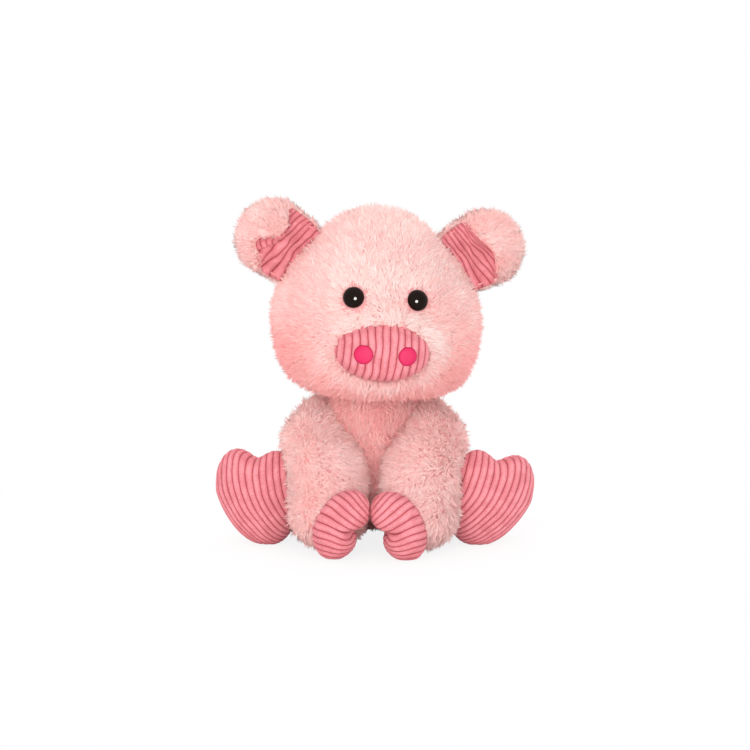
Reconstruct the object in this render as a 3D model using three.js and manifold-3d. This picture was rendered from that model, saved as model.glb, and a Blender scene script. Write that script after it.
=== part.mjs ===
// Seated plush pig, built from separate cloth skins, corduroy covers, fillings and safety eyes.
// Millimetres. Z is up, the pig looks along -Y, and +X is its own left side.
// The flat underside of the torso rests at Z = 0, with its centre at X = Y = 0.

import * as THREE from 'three';
import { mergeVertices } from 'three/addons/utils/BufferGeometryUtils.js';
import Module from 'manifold-3d';

const wasm = await Module();
wasm.setup();

// Cloth and gaps
const clearance = 0.3;
const plushThickness = 2;
const corduroyThickness = 1.8;
const floorPress = 0.5;
const overrun = 10;

// Torso: a pear whose seat is nearly flat and set back under the belly
const torsoHalfWidth = 49;
const torsoHalfDepth = 43;
const torsoHeight = 119;
const torsoLean = 16;
const seatSetback = 16;
const seatRise = 45;
const torsoOutlineShares = [
  [0, 0], [0.45, 0.001], [0.74, 0.012], [0.91, 0.075], [0.99, 0.19], [1, 0.3], [0.95, 0.44],
  [0.84, 0.59], [0.72, 0.74], [0.64, 0.87], [0.54, 0.955], [0.33, 0.994], [0, 1],
];

// Neck: a flat seam across which the head turns, a little below where the torso would close
const neckPress = 7;
const neckOpeningRadius = 18;

// Head: full cheeks below, a narrower crown above
const headHalfWidth = 73;
const headHalfDepth = 61;
const headHeight = 132.5;
const headCentreX = 0.4;
const headCentreY = -20;
const headRise = 48;
const headCheekHeight = 50;
const headRollDegrees = 3.3;
const headTurnDegrees = 6.5;
const headDepthPower = 0.8;
const headOutlineShares = [
  [0, 0], [0.36, 0.006], [0.6, 0.026], [0.78, 0.075], [0.88, 0.13], [0.96, 0.235], [1, 0.38],
  [0.98, 0.5], [0.912, 0.605], [0.8, 0.695], [0.67, 0.782], [0.527, 0.868], [0.37, 0.94],
  [0.205, 0.985], [0, 1],
];

// Snout: an oval corduroy bulge with two satin nostrils
const snoutHalfWidth = 33.5;
const snoutHalfHeight = 20.5;
const snoutReach = 76;
const snoutDepth = 24;
const snoutDrop = 13.5;
const nostrilRadius = 7;
const nostrilSpacing = 31;
const nostrilThickness = 1.4;

// Safety eyes, each with a stem through the cloth and a washer behind it
const eyeRadius = 7.6;
const eyeHeight = 6;
const eyeSpacing = 44.8;
const eyeRise = 24;
const stemRadius = 2;
const stemLength = 11;
const washerRadius = 8;
const washerThickness = 2;

// Ears: furry pouches whose tips fold forwards over a corduroy lining
const earRootX = 55;
const earRootY = 5;
const earRootZ = 46;
const earSlantDegrees = 33;
const earTurnDegrees = 12;
const earReach = 26;
const earHalfOut = 26;
const earHalfIn = 33;
const earHalfAlong = 24.5;
const earHalfDepth = 11.5;
const earThickness = 2.6;
const earMouthRise = 1;
const earFoldDegrees = 60;
const earFoldReach = 1.4;
const earLiningInset = 1.2;
const earTravelDegrees = 20;

// Arms: from each shoulder down to the floor in front
const shoulderX = 38, shoulderY = -14, shoulderZ = 90, shoulderRadius = 16;
const upperArmX = 43.5, upperArmY = -31, upperArmZ = 76, upperArmRadius = 21.5;
const foreArmX = 34, foreArmY = -49, foreArmZ = 56, foreArmRadius = 26;
const wristX = 33, wristY = -62, wristZ = 27.5, wristRadius = 25.5;
const armDepthShare = 0.86;
const armLiftDegrees = 25;

// Hands: two-toed corduroy hooves turned towards each other
const leftHandX = 17.8, leftHandZ = 24, leftHandPointDegrees = -116;
const rightHandX = 23.4, rightHandZ = 25.2, rightHandPointDegrees = -117;
const handCentreY = -83;
const handHalfLength = 17.5;
const handHalfWidth = 27;
const handHalfThickness = 15.5;
const handNotch = 8.5;
const handHeelBend = 2;
const handYawDegrees = 14;

// Legs: from each hip out to the foot
const hipX = 34, hipY = 4, hipZ = 29, hipRadius = 24;
const thighX = 58, thighY = -8, thighZ = 29, thighRadius = 23;
const ankleX = 77, ankleY = -17, ankleZ = 31, ankleRadius = 19;
const legSpreadDegrees = 25;

// Feet: two-toed corduroy hooves with their soles forwards
const footCentreX = 86.3, footCentreY = -35;
const leftFootZ = 35.4, leftFootPointDegrees = 10;
const rightFootZ = 37.4, rightFootPointDegrees = -1;
const footHalfLength = 38;
const footHalfWidth = 32;
const footHalfThickness = 17;
const footNotch = 12;
const footHeelBend = 8;
const footYawDegrees = 12;

// Tail: a short stuffed curl
const tailRootY = 36;
const tailRootZ = 30;
const tailCurlRadius = 8.5;
const tailLength = 25;
const tailThickRadius = 5.5;
const tailThinRadius = 3.5;
const tailTurns = 1.15;
const tailSwingDegrees = 20;

// Materials
const plush = new THREE.MeshStandardMaterial({ color: 0xf6b9ba, roughness: 0.95, metalness: 0 });
const corduroy = new THREE.MeshStandardMaterial({ color: 0xee8290, roughness: 0.85, metalness: 0 });
const satin = new THREE.MeshStandardMaterial({ color: 0xf02a78, roughness: 0.5, metalness: 0 });
const glossyBlack = new THREE.MeshStandardMaterial({ color: 0x17100f, roughness: 0.12, metalness: 0 });
const whitePlastic = new THREE.MeshStandardMaterial({ color: 0xf2f0ea, roughness: 0.5, metalness: 0 });
const filling = new THREE.MeshStandardMaterial({ color: 0xf7f5f0, roughness: 1, metalness: 0 });

const radians = THREE.MathUtils.degToRad;
const part = new THREE.Group();
part.name = 'plush_pig';

// Solids and meshes

function toSolid(geometry) {
  geometry.deleteAttribute('normal');
  geometry.deleteAttribute('uv');
  const merged = mergeVertices(geometry);
  const index = merged.index.array;
  const corners = [];
  for (let i = 0; i < index.length; i += 3) {
    const [a, b, c] = index.subarray(i, i + 3);
    if (a !== b && b !== c && c !== a) corners.push(a, b, c);
  }
  return new wasm.Manifold(new wasm.Mesh({
    numProp: 3,
    vertProperties: Float32Array.from(merged.attributes.position.array),
    triVerts: Uint32Array.from(corners),
  }));
}

// The largest body of a solid, without the slivers that a cut can leave.
function mainBody(solid) {
  const bodies = solid.decompose();
  return bodies.reduce((largest, body) => (body.volume() > largest.volume() ? body : largest));
}

function addPiece(name, solid, material) {
  const { vertProperties, triVerts } = mainBody(solid).getMesh();
  const geometry = new THREE.BufferGeometry();
  geometry.setAttribute('position', new THREE.BufferAttribute(vertProperties, 3));
  geometry.setIndex(new THREE.BufferAttribute(triVerts, 1));
  geometry.computeVertexNormals();
  const mesh = new THREE.Mesh(geometry, material);
  mesh.name = name;
  part.add(mesh);
}

const mirrored = (solid) => solid.mirror([1, 0, 0]);

// A closed surface with a pole at each end. place gives the point at a share of the way from pole to
// pole and at an angle that turns to the left about that direction.
function closedForm(rings, sides, place) {
  const points = [place(0, 0)];
  for (let ring = 1; ring < rings; ring++) {
    for (let side = 0; side < sides; side++) {
      points.push(place(ring / rings, (2 * Math.PI * side) / sides));
    }
  }
  points.push(place(1, 0));
  const at = (ring, side) => 1 + (ring - 1) * sides + (side % sides);
  const corners = [];
  for (let side = 0; side < sides; side++) {
    corners.push(0, at(1, side + 1), at(1, side));
    for (let ring = 1; ring < rings - 1; ring++) {
      corners.push(at(ring, side), at(ring, side + 1), at(ring + 1, side + 1));
      corners.push(at(ring, side), at(ring + 1, side + 1), at(ring + 1, side));
    }
    corners.push(at(rings - 1, side), at(rings - 1, side + 1), points.length - 1);
  }
  const geometry = new THREE.BufferGeometry().setFromPoints(points);
  geometry.setIndex(corners);
  return toSolid(geometry);
}

// An outline of shares revolved about Z, then drawn out to its own width, depth and height.
function revolvedForm(outlineShares, rings, sides, halfWidth, halfDepth, height, depthPower = 1) {
  const outline = new THREE.SplineCurve(outlineShares.map(([out, up]) => new THREE.Vector2(out, up)));
  return closedForm(rings, sides, (way, angle) => {
    const { x: out, y: up } = outline.getPoint(way);
    const radius = way === 0 || way === 1 ? 0 : out;
    return new THREE.Vector3(
      halfWidth * radius * Math.cos(angle),
      halfDepth * radius ** depthPower * Math.sin(angle),
      height * up,
    );
  });
}

// A limb swept along a curve through named stations, round at both ends.
function limbForm({ stations, depthShare }, sides, capRings, bodyRings, grow) {
  const curve = new THREE.CatmullRomCurve3(stations.map((s) => new THREE.Vector3(s.x, s.y, s.z)));
  const last = stations.length - 1;
  const rings = 2 * capRings + bodyRings;
  const radiusAt = (way) => {
    const from = Math.min(Math.floor(way * last), last - 1);
    const ease = THREE.MathUtils.smoothstep(way * last - from, 0, 1);
    return THREE.MathUtils.lerp(stations[from].radius, stations[from + 1].radius, ease);
  };
  return closedForm(rings, sides, (share, angle) => {
    const ring = Math.round(share * rings);
    const body = THREE.MathUtils.clamp((ring - capRings) / bodyRings, 0, 1);
    const cap = Math.min(ring - capRings, 0) + Math.max(ring - capRings - bodyRings, 0);
    const capAngle = (cap / capRings) * (Math.PI / 2);
    const along = curve.getTangent(body);
    const out = new THREE.Vector3(0, 0, 1).cross(along).normalize();
    const up = along.clone().cross(out);
    const width = radiusAt(body) + grow;
    const depth = depthShare * radiusAt(body) + grow;
    const closing = Math.abs(cap) === capRings ? 0 : Math.cos(capAngle);
    return curve.getPoint(body)
      .addScaledVector(along, depth * Math.sin(capAngle))
      .addScaledVector(out, width * closing * Math.cos(angle))
      .addScaledVector(up, depth * closing * Math.sin(angle));
  });
}

// How far an oval reaches at an angle; a power over 2 squares it up.
function ovalReach(angle, length, width, power) {
  const along = (Math.abs(Math.cos(angle)) / length) ** power;
  const across = (Math.abs(Math.sin(angle)) / width) ** power;
  return (along + across) ** (-1 / power);
}

// A two-toed hoof in its own frame: X to the toes, Y across, Z out of the sole. Its heel bends to +Y.
const hoofOutlinePower = 2.3;
const hoofFullnessPower = 0.75;
const hoofHeelTaperShare = 0.2;
const hoofNotchSpreadShare = 0.36;

function hoofForm(hoof, grow, rings = 9, sides = 18) {
  const length = hoof.halfLength + grow;
  const width = hoof.halfWidth + grow;
  return closedForm(rings, sides, (way, angle) => {
    const rise = (way - 1 / 2) * Math.PI;
    const toHeel = Math.max(-Math.cos(angle), 0);
    const across = width * (1 - hoofHeelTaperShare * toHeel);
    const oval = ovalReach(angle, length, across, hoofOutlinePower);
    const turn = Math.atan2(Math.sin(angle), Math.cos(angle));
    const notch = hoof.notch * Math.exp(-((turn / hoofNotchSpreadShare) ** 2));
    const spread = way === 0 || way === 1 ? 0 : Math.cos(rise) ** hoofFullnessPower;
    const along = (oval - notch) * Math.cos(angle) * spread;
    return new THREE.Vector3(
      along,
      (oval - notch) * Math.sin(angle) * spread + hoof.bend * ((1 - along / hoof.halfLength) / 2) ** 2,
      (hoof.halfThickness + grow) * Math.sin(rise),
    );
  }).transform(hoofFrame(hoof).elements);
}

function hoofFrame(hoof) {
  const yaw = radians(hoof.yaw);
  const point = radians(hoof.point);
  const sole = new THREE.Vector3(Math.sin(yaw), -Math.cos(yaw), 0);
  const outwards = new THREE.Vector3(Math.cos(yaw), Math.sin(yaw), 0);
  const toes = new THREE.Vector3(0, 0, Math.cos(point)).addScaledVector(outwards, Math.sin(point));
  const across = sole.clone().cross(toes);
  return new THREE.Matrix4().makeBasis(toes, across, sole).setPosition(hoof.x, hoof.y, hoof.z);
}

// A body turned about an axis through a pivot.
function turned(solid, pivot, axis, degrees) {
  const about = new THREE.Matrix4().makeTranslation(pivot)
    .multiply(new THREE.Matrix4().makeRotationAxis(axis, radians(degrees)))
    .multiply(new THREE.Matrix4().makeTranslation(pivot.clone().negate()));
  return solid.transform(about.elements);
}

// All the room that a body takes as seen from a limb that turns between two angles.
const sweepStepDegrees = 8.5;

function sweptRoom(body, pivot, axis, fromDegrees, toDegrees) {
  const steps = Math.ceil((toDegrees - fromDegrees) / sweepStepDegrees);
  const places = [];
  for (let step = 0; step <= steps; step++) {
    const degrees = THREE.MathUtils.lerp(fromDegrees, toDegrees, step / steps);
    places.push(turned(body, pivot, axis, -degrees));
  }
  return wasm.Manifold.union(places);
}

const aboveFloor = (solid, height = 0) => solid.trimByPlane([0, 0, 1], height);

// Torso

function torsoForm(grow, rings = 14, sides = 20) {
  const height = torsoHeight + 2 * grow;
  return revolvedForm(
    torsoOutlineShares, rings, sides, torsoHalfWidth + grow, torsoHalfDepth + grow, height,
  ).translate([0, 0, -floorPress - grow]).warp((point) => {
    point[1] -= torsoLean * Math.max(point[2] / torsoHeight, 0) ** 2;
    point[1] += seatSetback * Math.max(1 - point[2] / seatRise, 0) ** 2;
  });
}

const neckHeight = torsoHeight - neckPress;
const neckY = -torsoLean * (neckHeight / torsoHeight) ** 2;
const neckOpening = toSolid(
  new THREE.CylinderGeometry(neckOpeningRadius, neckOpeningRadius, 2 * overrun, 24),
).rotate([90, 0, 0]).translate([0, neckY, neckHeight]);

function addTorso() {
  const outside = aboveFloor(torsoForm(0)).trimByPlane([0, 0, -1], -neckHeight);
  const inside = torsoForm(-plushThickness, 10, 14);
  const fill = torsoForm(-plushThickness - clearance, 10, 14).trimByPlane([0, 0, -1], -neckHeight);
  addPiece('torso_skin', outside.subtract(inside).subtract(neckOpening), plush);
  addPiece('torso_stuffing', fill, filling);
}

// Head, in its own frame about the middle of the cheeks

const headFrame = new THREE.Matrix4()
  .makeTranslation(headCentreX, headCentreY, neckHeight + headRise)
  .multiply(new THREE.Matrix4().makeRotationZ(radians(headTurnDegrees)))
  .multiply(new THREE.Matrix4().makeRotationY(radians(headRollDegrees)));

function headForm(grow, rings = 16, sides = 24) {
  return revolvedForm(
    headOutlineShares, rings, sides,
    headHalfWidth + grow, headHalfDepth + grow, headHeight + 2 * grow, headDepthPower,
  ).translate([0, 0, -headCheekHeight - grow]);
}

// How far forward the face lies at a place across and up, and which way it looks there.
function facePlace(across, up) {
  const outline = new THREE.SplineCurve(headOutlineShares.map(([out, high]) => new THREE.Vector2(out, high)));
  const depthAt = (x, z) => {
    const high = (z + headCheekHeight) / headHeight;
    let [low, top] = [0, 1];
    for (let halving = 0; halving < 30; halving++) {
      const middle = (low + top) / 2;
      if (outline.getPoint(middle).y < high) low = middle; else top = middle;
    }
    const out = outline.getPoint(low).x;
    return -headHalfDepth * out ** headDepthPower * Math.sqrt(1 - (x / (headHalfWidth * out)) ** 2);
  };
  const step = clearance;
  const slopeX = (depthAt(across + step, up) - depthAt(across - step, up)) / (2 * step);
  const slopeZ = (depthAt(across, up + step) - depthAt(across, up - step)) / (2 * step);
  return {
    point: new THREE.Vector3(across, depthAt(across, up), up),
    normal: new THREE.Vector3(slopeX, -1, slopeZ).normalize(),
  };
}

// Turns a piece made about Z so that Z looks out of the face.
function onFace(solid, { point, normal }) {
  const turn = new THREE.Quaternion().setFromUnitVectors(new THREE.Vector3(0, 0, 1), normal);
  return solid.transform(new THREE.Matrix4().compose(point, turn, new THREE.Vector3(1, 1, 1)).elements);
}

function lathe(points, sides) {
  return toSolid(new THREE.LatheGeometry(points, sides).rotateX(Math.PI / 2));
}

const headPlaced = (solid) => solid.transform(headFrame.elements);
const eyeFace = facePlace(eyeSpacing / 2, eyeRise);

function eyeSolid() {
  const outline = [];
  const domeSteps = 7;
  for (let step = 0; step <= domeSteps; step++) {
    const rise = (step / domeSteps) * (Math.PI / 2);
    outline.push(new THREE.Vector2(eyeRadius * Math.cos(rise), eyeHeight * Math.sin(rise) + clearance));
  }
  outline[domeSteps].x = 0;
  outline.unshift(
    new THREE.Vector2(0, -stemLength),
    new THREE.Vector2(stemRadius, -stemLength),
    new THREE.Vector2(stemRadius, clearance),
  );
  return lathe(outline, 22);
}

function washerSolid(grow) {
  const inner = stemRadius + clearance - grow;
  const outer = washerRadius + grow;
  const top = -plushThickness - clearance + grow;
  const bottom = top - washerThickness - 2 * grow;
  const outline = grow > 0
    ? [[0, bottom], [outer, bottom], [outer, top], [0, top]]
    : [[inner, bottom], [outer, bottom], [outer, top], [inner, top], [inner, bottom]];
  return lathe(outline.map(([out, up]) => new THREE.Vector2(out, up)), 16);
}

function stemRoom() {
  const radius = stemRadius + clearance;
  const outline = [
    [0, -stemLength - clearance], [radius, -stemLength - clearance], [radius, overrun], [0, overrun],
  ];
  return lathe(outline.map(([out, up]) => new THREE.Vector2(out, up)), 16);
}

// A shallow flat seat that the eye's dome is drawn into.
function eyeSeat() {
  const radius = eyeRadius + clearance;
  const outline = [[0, 0], [radius, 0], [radius, overrun], [0, overrun]];
  return lathe(outline.map(([out, up]) => new THREE.Vector2(out, up)), 22);
}

// Snout, nostrils and what fills them

function snoutForm(grow, rings = 12, sides = 22) {
  const fullnessPower = 0.62;
  return closedForm(rings, sides, (way, angle) => {
    const rise = (way - 1 / 2) * Math.PI;
    const spread = way === 0 || way === 1 ? 0 : Math.cos(rise) ** fullnessPower;
    return new THREE.Vector3(
      (snoutHalfWidth + grow) * spread * Math.cos(angle),
      (snoutHalfHeight + grow) * spread * Math.sin(angle),
      (snoutDepth + grow) * Math.sin(rise),
    );
  }).rotate([90, 0, 0]).translate([0, snoutDepth - snoutReach, -snoutDrop]);
}

function nostrilSolid(side) {
  const rod = toSolid(new THREE.CylinderGeometry(nostrilRadius, nostrilRadius, snoutReach, 24))
    .translate([(side * nostrilSpacing) / 2, -snoutReach, -snoutDrop]);
  return rod.intersect(snoutForm(clearance + nostrilThickness)).subtract(snoutForm(clearance));
}

function addHead() {
  const eyeRooms = [stemRoom(), eyeSeat()].map((room) => onFace(room, eyeFace));
  const washerRoom = onFace(washerSolid(clearance), eyeFace);
  const openings = wasm.Manifold.union([...eyeRooms, ...eyeRooms.map(mirrored)]);
  const fillRooms = wasm.Manifold.union([openings, washerRoom, mirrored(washerRoom)]);

  const skin = headPlaced(headForm(0).subtract(headForm(-plushThickness, 10, 14)).subtract(fillRooms));
  const fill = headPlaced(headForm(-plushThickness - clearance, 10, 14).subtract(fillRooms));
  addPiece('head_skin', aboveFloor(skin, neckHeight + clearance).subtract(neckOpening), plush);
  addPiece('head_stuffing', aboveFloor(fill, neckHeight + clearance), filling);

  const eye = onFace(eyeSolid(), eyeFace);
  const washer = onFace(washerSolid(0), eyeFace);
  addPiece('eye_left', headPlaced(eye), glossyBlack);
  addPiece('eye_right', headPlaced(mirrored(eye)), glossyBlack);
  addPiece('eye_washer_left', headPlaced(washer), whitePlastic);
  addPiece('eye_washer_right', headPlaced(mirrored(washer)), whitePlastic);

  const face = headForm(clearance);
  const cover = snoutForm(0).subtract(snoutForm(-corduroyThickness, 8, 14)).subtract(face);
  const snoutFill = snoutForm(-corduroyThickness - clearance, 8, 14).subtract(face);
  addPiece('snout_cover', headPlaced(cover), corduroy);
  addPiece('snout_stuffing', headPlaced(snoutFill), filling);
  addPiece('nostril_left', headPlaced(nostrilSolid(1)), satin);
  addPiece('nostril_right', headPlaced(nostrilSolid(-1)), satin);
}

// Ears, in the head's frame: X out along the ear, Y along its root, Z out of its front

const earSlant = radians(earSlantDegrees);
const earOut = new THREE.Vector3(Math.cos(earSlant), 0, Math.sin(earSlant));
const earAlong = new THREE.Vector3(-Math.sin(earSlant), 0, Math.cos(earSlant));
const earRoot = new THREE.Vector3(earRootX, earRootY, earRootZ);

// A flat pouch, round at its tip and square at its root, less its mouth. The mouth takes the front of
// the root's half, up to a slant where the tip folds forward.
const earTipPower = 2;
const earRootPower = 3;

function earPouch(shrink, thickness, mouthInset) {
  const pouch = (inset) => closedForm(12, 20, (way, angle) => {
    const rise = (way - 1 / 2) * Math.PI;
    const [length, power] = Math.cos(angle) > 0 ? [earHalfOut, earTipPower] : [earHalfIn, earRootPower];
    const reach = ovalReach(angle, length - inset, earHalfAlong - inset, power);
    const spread = way === 0 || way === 1 ? 0 : Math.cos(rise);
    return new THREE.Vector3(
      reach * spread * Math.cos(angle),
      reach * spread * Math.sin(angle),
      (earHalfDepth - inset) * Math.sin(rise),
    );
  });
  return pouch(shrink).subtract(pouch(shrink + thickness)).subtract(earMouth(mouthInset));
}

function earMouth(inset) {
  const fold = radians(earFoldDegrees);
  const size = 2 * (earHalfOut + earHalfIn);
  return toSolid(new THREE.BoxGeometry(size, size, size))
    .trimByPlane([0, 0, 1], earMouthRise - inset)
    .trimByPlane([-Math.sin(fold), 0, Math.cos(fold)], earFoldReach - inset);
}

function earPlaced(solid) {
  const turn = radians(earTurnDegrees);
  const front = new THREE.Vector3(0, -Math.cos(turn), 0).addScaledVector(earOut, -Math.sin(turn));
  const out = earAlong.clone().cross(front);
  const rootDepth = earHalfDepth * Math.sqrt(1 - (earReach / earHalfIn) ** 2) - earThickness / 2;
  const centre = earRoot.clone().addScaledVector(out, earReach).addScaledVector(front, rootDepth);
  const frame = new THREE.Matrix4().makeBasis(out, earAlong, front).setPosition(centre);
  return solid.transform(frame.elements);
}

function addEars() {
  const headRoom = sweptRoom(headForm(clearance), earRoot, earAlong, -earTravelDegrees, earTravelDegrees);
  const back = earPlaced(earPouch(0, earThickness, 0)).subtract(headRoom);
  const lining = earPlaced(
    earPouch(earThickness + clearance, corduroyThickness, earLiningInset),
  ).subtract(headRoom);
  addPiece('ear_back_left', headPlaced(back), plush);
  addPiece('ear_back_right', headPlaced(mirrored(back)), plush);
  addPiece('ear_lining_left', headPlaced(lining), corduroy);
  addPiece('ear_lining_right', headPlaced(mirrored(lining)), corduroy);
}

// Arms and hands

const arm = {
  depthShare: armDepthShare,
  stations: [
    { x: shoulderX, y: shoulderY, z: shoulderZ, radius: shoulderRadius },
    { x: upperArmX, y: upperArmY, z: upperArmZ, radius: upperArmRadius },
    { x: foreArmX, y: foreArmY, z: foreArmZ, radius: foreArmRadius },
    { x: wristX, y: wristY, z: wristZ, radius: wristRadius },
  ],
};
const hand = {
  y: handCentreY,
  halfLength: handHalfLength, halfWidth: handHalfWidth, halfThickness: handHalfThickness,
  notch: handNotch, bend: handHeelBend, yaw: handYawDegrees,
};
const hands = {
  left: { ...hand, x: leftHandX, z: leftHandZ, point: leftHandPointDegrees },
  right: { ...hand, x: rightHandX, z: rightHandZ, point: rightHandPointDegrees },
};

// Legs and feet

const leg = {
  depthShare: 1,
  stations: [
    { x: hipX, y: hipY, z: hipZ, radius: hipRadius },
    { x: thighX, y: thighY, z: thighZ, radius: thighRadius },
    { x: ankleX, y: ankleY, z: ankleZ, radius: ankleRadius },
  ],
};
const foot = {
  x: footCentreX, y: footCentreY,
  halfLength: footHalfLength, halfWidth: footHalfWidth, halfThickness: footHalfThickness,
  notch: footNotch, bend: footHeelBend, yaw: footYawDegrees,
};
const feet = {
  left: { ...foot, z: leftFootZ, point: leftFootPointDegrees },
  right: { ...foot, z: rightFootZ, point: rightFootPointDegrees },
};

// A furry limb, the corduroy hoof at its end and the filling that runs through both, worked out on the
// left and mirrored for the right. roomFor gives what the larger pieces take of the limb's space,
// grown by a gap.
function addLimb(limbName, hoofName, side, limb, bodyRings, hoof, roomFor) {
  const form = (grow) => limbForm(limb, 14, 2, bodyRings, grow);
  const inside = form(-plushThickness).subtract(roomFor(clearance + plushThickness));
  const fill = form(-plushThickness - clearance).subtract(roomFor(plushThickness + 2 * clearance));
  const skin = aboveFloor(form(0).subtract(roomFor(clearance)))
    .subtract(hoofForm(hoof, clearance))
    .subtract(inside);

  const wall = corduroyThickness;
  const coverInside = aboveFloor(hoofForm(hoof, -wall), wall).subtract(roomFor(clearance + wall));
  const cover = aboveFloor(hoofForm(hoof, 0)).subtract(roomFor(clearance))
    .subtract(coverInside)
    .subtract(inside);
  const hoofFill = aboveFloor(hoofForm(hoof, -wall - clearance), wall + clearance)
    .subtract(roomFor(wall + 2 * clearance));
  const onSide = (solid) => (side === 'left' ? solid : mirrored(solid));
  addPiece(`${limbName}_skin_${side}`, onSide(skin), plush);
  addPiece(`${hoofName}_cover_${side}`, onSide(cover), corduroy);
  addPiece(`${limbName}_stuffing_${side}`, onSide(fill.add(hoofFill)), filling);
}

function addLimbs() {
  const acrossAxis = new THREE.Vector3(-1, 0, 0);
  const upAxis = new THREE.Vector3(0, 0, 1);
  const shoulder = new THREE.Vector3(shoulderX, shoulderY, shoulderZ);
  const hip = new THREE.Vector3(hipX, hipY, hipZ);
  for (const side of ['left', 'right']) {
    addLimb('arm', 'hand', side, arm, 6, hands[side], (gap) => (
      sweptRoom(torsoForm(gap), shoulder, acrossAxis, 0, armLiftDegrees)
    ));
    addLimb('leg', 'foot', side, leg, 4, feet[side], (gap) => {
      const armRoom = sweptRoom(limbForm(arm, 14, 2, 6, gap), shoulder, acrossAxis, -armLiftDegrees, 0);
      return sweptRoom(torsoForm(gap), hip, upAxis, 0, legSpreadDegrees).add(armRoom);
    });
  }
}

// Tail

function addTail() {
  const sides = 9;
  const rings = 22;
  const root = new THREE.Vector3(0, tailRootY, tailRootZ);
  const place = (way) => {
    const turn = 2 * Math.PI * tailTurns * way;
    return new THREE.Vector3(
      tailCurlRadius * Math.sin(turn) * way,
      tailRootY + tailLength * way,
      tailRootZ + tailCurlRadius * (1 - Math.cos(turn)) * way,
    );
  };
  const step = 1 / rings;
  const tail = closedForm(rings, sides, (way, angle) => {
    const along = place(way + step).sub(place(way - step)).normalize();
    const out = new THREE.Vector3(0, 0, 1).cross(along).normalize();
    const up = along.clone().cross(out);
    const roundEnd = Math.sqrt(Math.max(1 - Math.abs(2 * way - 1) ** 8, 0));
    const radius = THREE.MathUtils.lerp(tailThickRadius, tailThinRadius, way) * roundEnd;
    return place(way)
      .addScaledVector(out, radius * Math.cos(angle))
      .addScaledVector(up, radius * Math.sin(angle));
  });
  const upAxis = new THREE.Vector3(0, 0, 1);
  const torsoRoom = sweptRoom(torsoForm(clearance), root, upAxis, -tailSwingDegrees, tailSwingDegrees);
  addPiece('tail', tail.subtract(torsoRoom), plush);
}

addTorso();
addHead();
addEars();
addLimbs();
addTail();

export default part;
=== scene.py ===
# %% [markdown]
# A seated plush pig: curly pink plush over a stuffed head, torso, arms, legs, ears and tail, with
# ribbed corduroy on the snout, the ear linings and the two-toed hooves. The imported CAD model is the
# frame. Every Blender piece below is worked out in that frame, rides on the same bodies, and takes
# the place of the plain solids. The pig could be one sculpted mesh with a hair system on it. Separate
# surfaces worked out by formula were chosen, because then each cloth piece keeps its own seam, its
# own cloth and its own joint. Lengths are written in millimetres and turned to metres at the end.

import math

import bpy
import numpy as np
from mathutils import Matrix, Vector


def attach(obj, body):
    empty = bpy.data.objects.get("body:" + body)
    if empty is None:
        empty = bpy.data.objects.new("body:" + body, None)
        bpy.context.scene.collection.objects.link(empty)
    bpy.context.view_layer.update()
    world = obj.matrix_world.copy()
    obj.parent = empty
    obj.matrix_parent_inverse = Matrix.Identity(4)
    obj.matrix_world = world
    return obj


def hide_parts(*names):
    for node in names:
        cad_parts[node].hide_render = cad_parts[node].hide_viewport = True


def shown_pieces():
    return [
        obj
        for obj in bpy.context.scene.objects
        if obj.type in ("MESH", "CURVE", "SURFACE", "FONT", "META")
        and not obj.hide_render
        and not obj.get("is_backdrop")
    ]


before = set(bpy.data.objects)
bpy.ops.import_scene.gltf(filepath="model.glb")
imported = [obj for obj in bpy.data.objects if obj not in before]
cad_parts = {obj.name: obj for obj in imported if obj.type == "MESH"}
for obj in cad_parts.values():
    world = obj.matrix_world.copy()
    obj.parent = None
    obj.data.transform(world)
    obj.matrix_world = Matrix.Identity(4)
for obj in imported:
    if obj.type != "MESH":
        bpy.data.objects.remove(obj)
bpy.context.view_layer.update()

MM = 0.001

# %% [markdown]
# The photograph was taken from a little above the pig's eyes with a long lens. The camera stands
# 1.3 metres away at 8 degrees above the horizon. A shorter lens close by could frame the pig just as
# well, but it would swell the snout and the hands, which the photograph doesn't do.

# %% Camera
CAMERA_TARGET = (0.7, -20.0, 122.6)
CAMERA_DISTANCE = 1300.0
CAMERA_RISE = math.radians(8)
CAMERA_LENS, SENSOR_WIDTH = 84.8, 36.0


def add_camera():
    """The camera's place is target + distance * (0, -cos(rise), sin(rise)), and it looks back along that."""
    data = bpy.data.cameras.new("camera")
    data.lens, data.sensor_width = CAMERA_LENS, SENSOR_WIDTH
    camera = bpy.data.objects.new("camera", data)
    bpy.context.scene.collection.objects.link(camera)
    back = Vector((0, -math.cos(CAMERA_RISE), math.sin(CAMERA_RISE)))
    camera.location = (Vector(CAMERA_TARGET) + back * CAMERA_DISTANCE) * MM
    camera.rotation_euler = (-back).to_track_quat("-Z", "Y").to_euler()
    bpy.context.scene.camera = camera


bpy.context.scene.view_settings.view_transform = "Standard"
add_camera()
print("camera", CAMERA_DISTANCE, "mm away with a lens of", CAMERA_LENS, "mm")

# %% [markdown]
# A product photograph of a soft toy is lit by large soft lamps: one above the camera, two weaker low
# ones at its sides, one overhead, and two behind that light the edge of the pile. A single sun would be
# simpler, but its hard shadows would cut up the fur. One more lamp is only ever seen mirrored. It is
# the small catch light that makes the eyes look alive.


# %% Lamps
def add_lamp(name, place, aim, size, watts, mirrored=False):
    """A round soft lamp. One that is mirrored shows in glossy pieces and lights nothing else."""
    data = bpy.data.lights.new(name, "AREA")
    data.shape, data.size, data.energy = "DISK", size * MM, watts
    lamp = bpy.data.objects.new(name, data)
    lamp.visible_glossy, lamp.visible_diffuse = mirrored, not mirrored
    bpy.context.scene.collection.objects.link(lamp)
    lamp.location = Vector(place) * MM
    lamp.rotation_euler = (Vector(aim) - Vector(place)).to_track_quat("-Z", "Y").to_euler()


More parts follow.
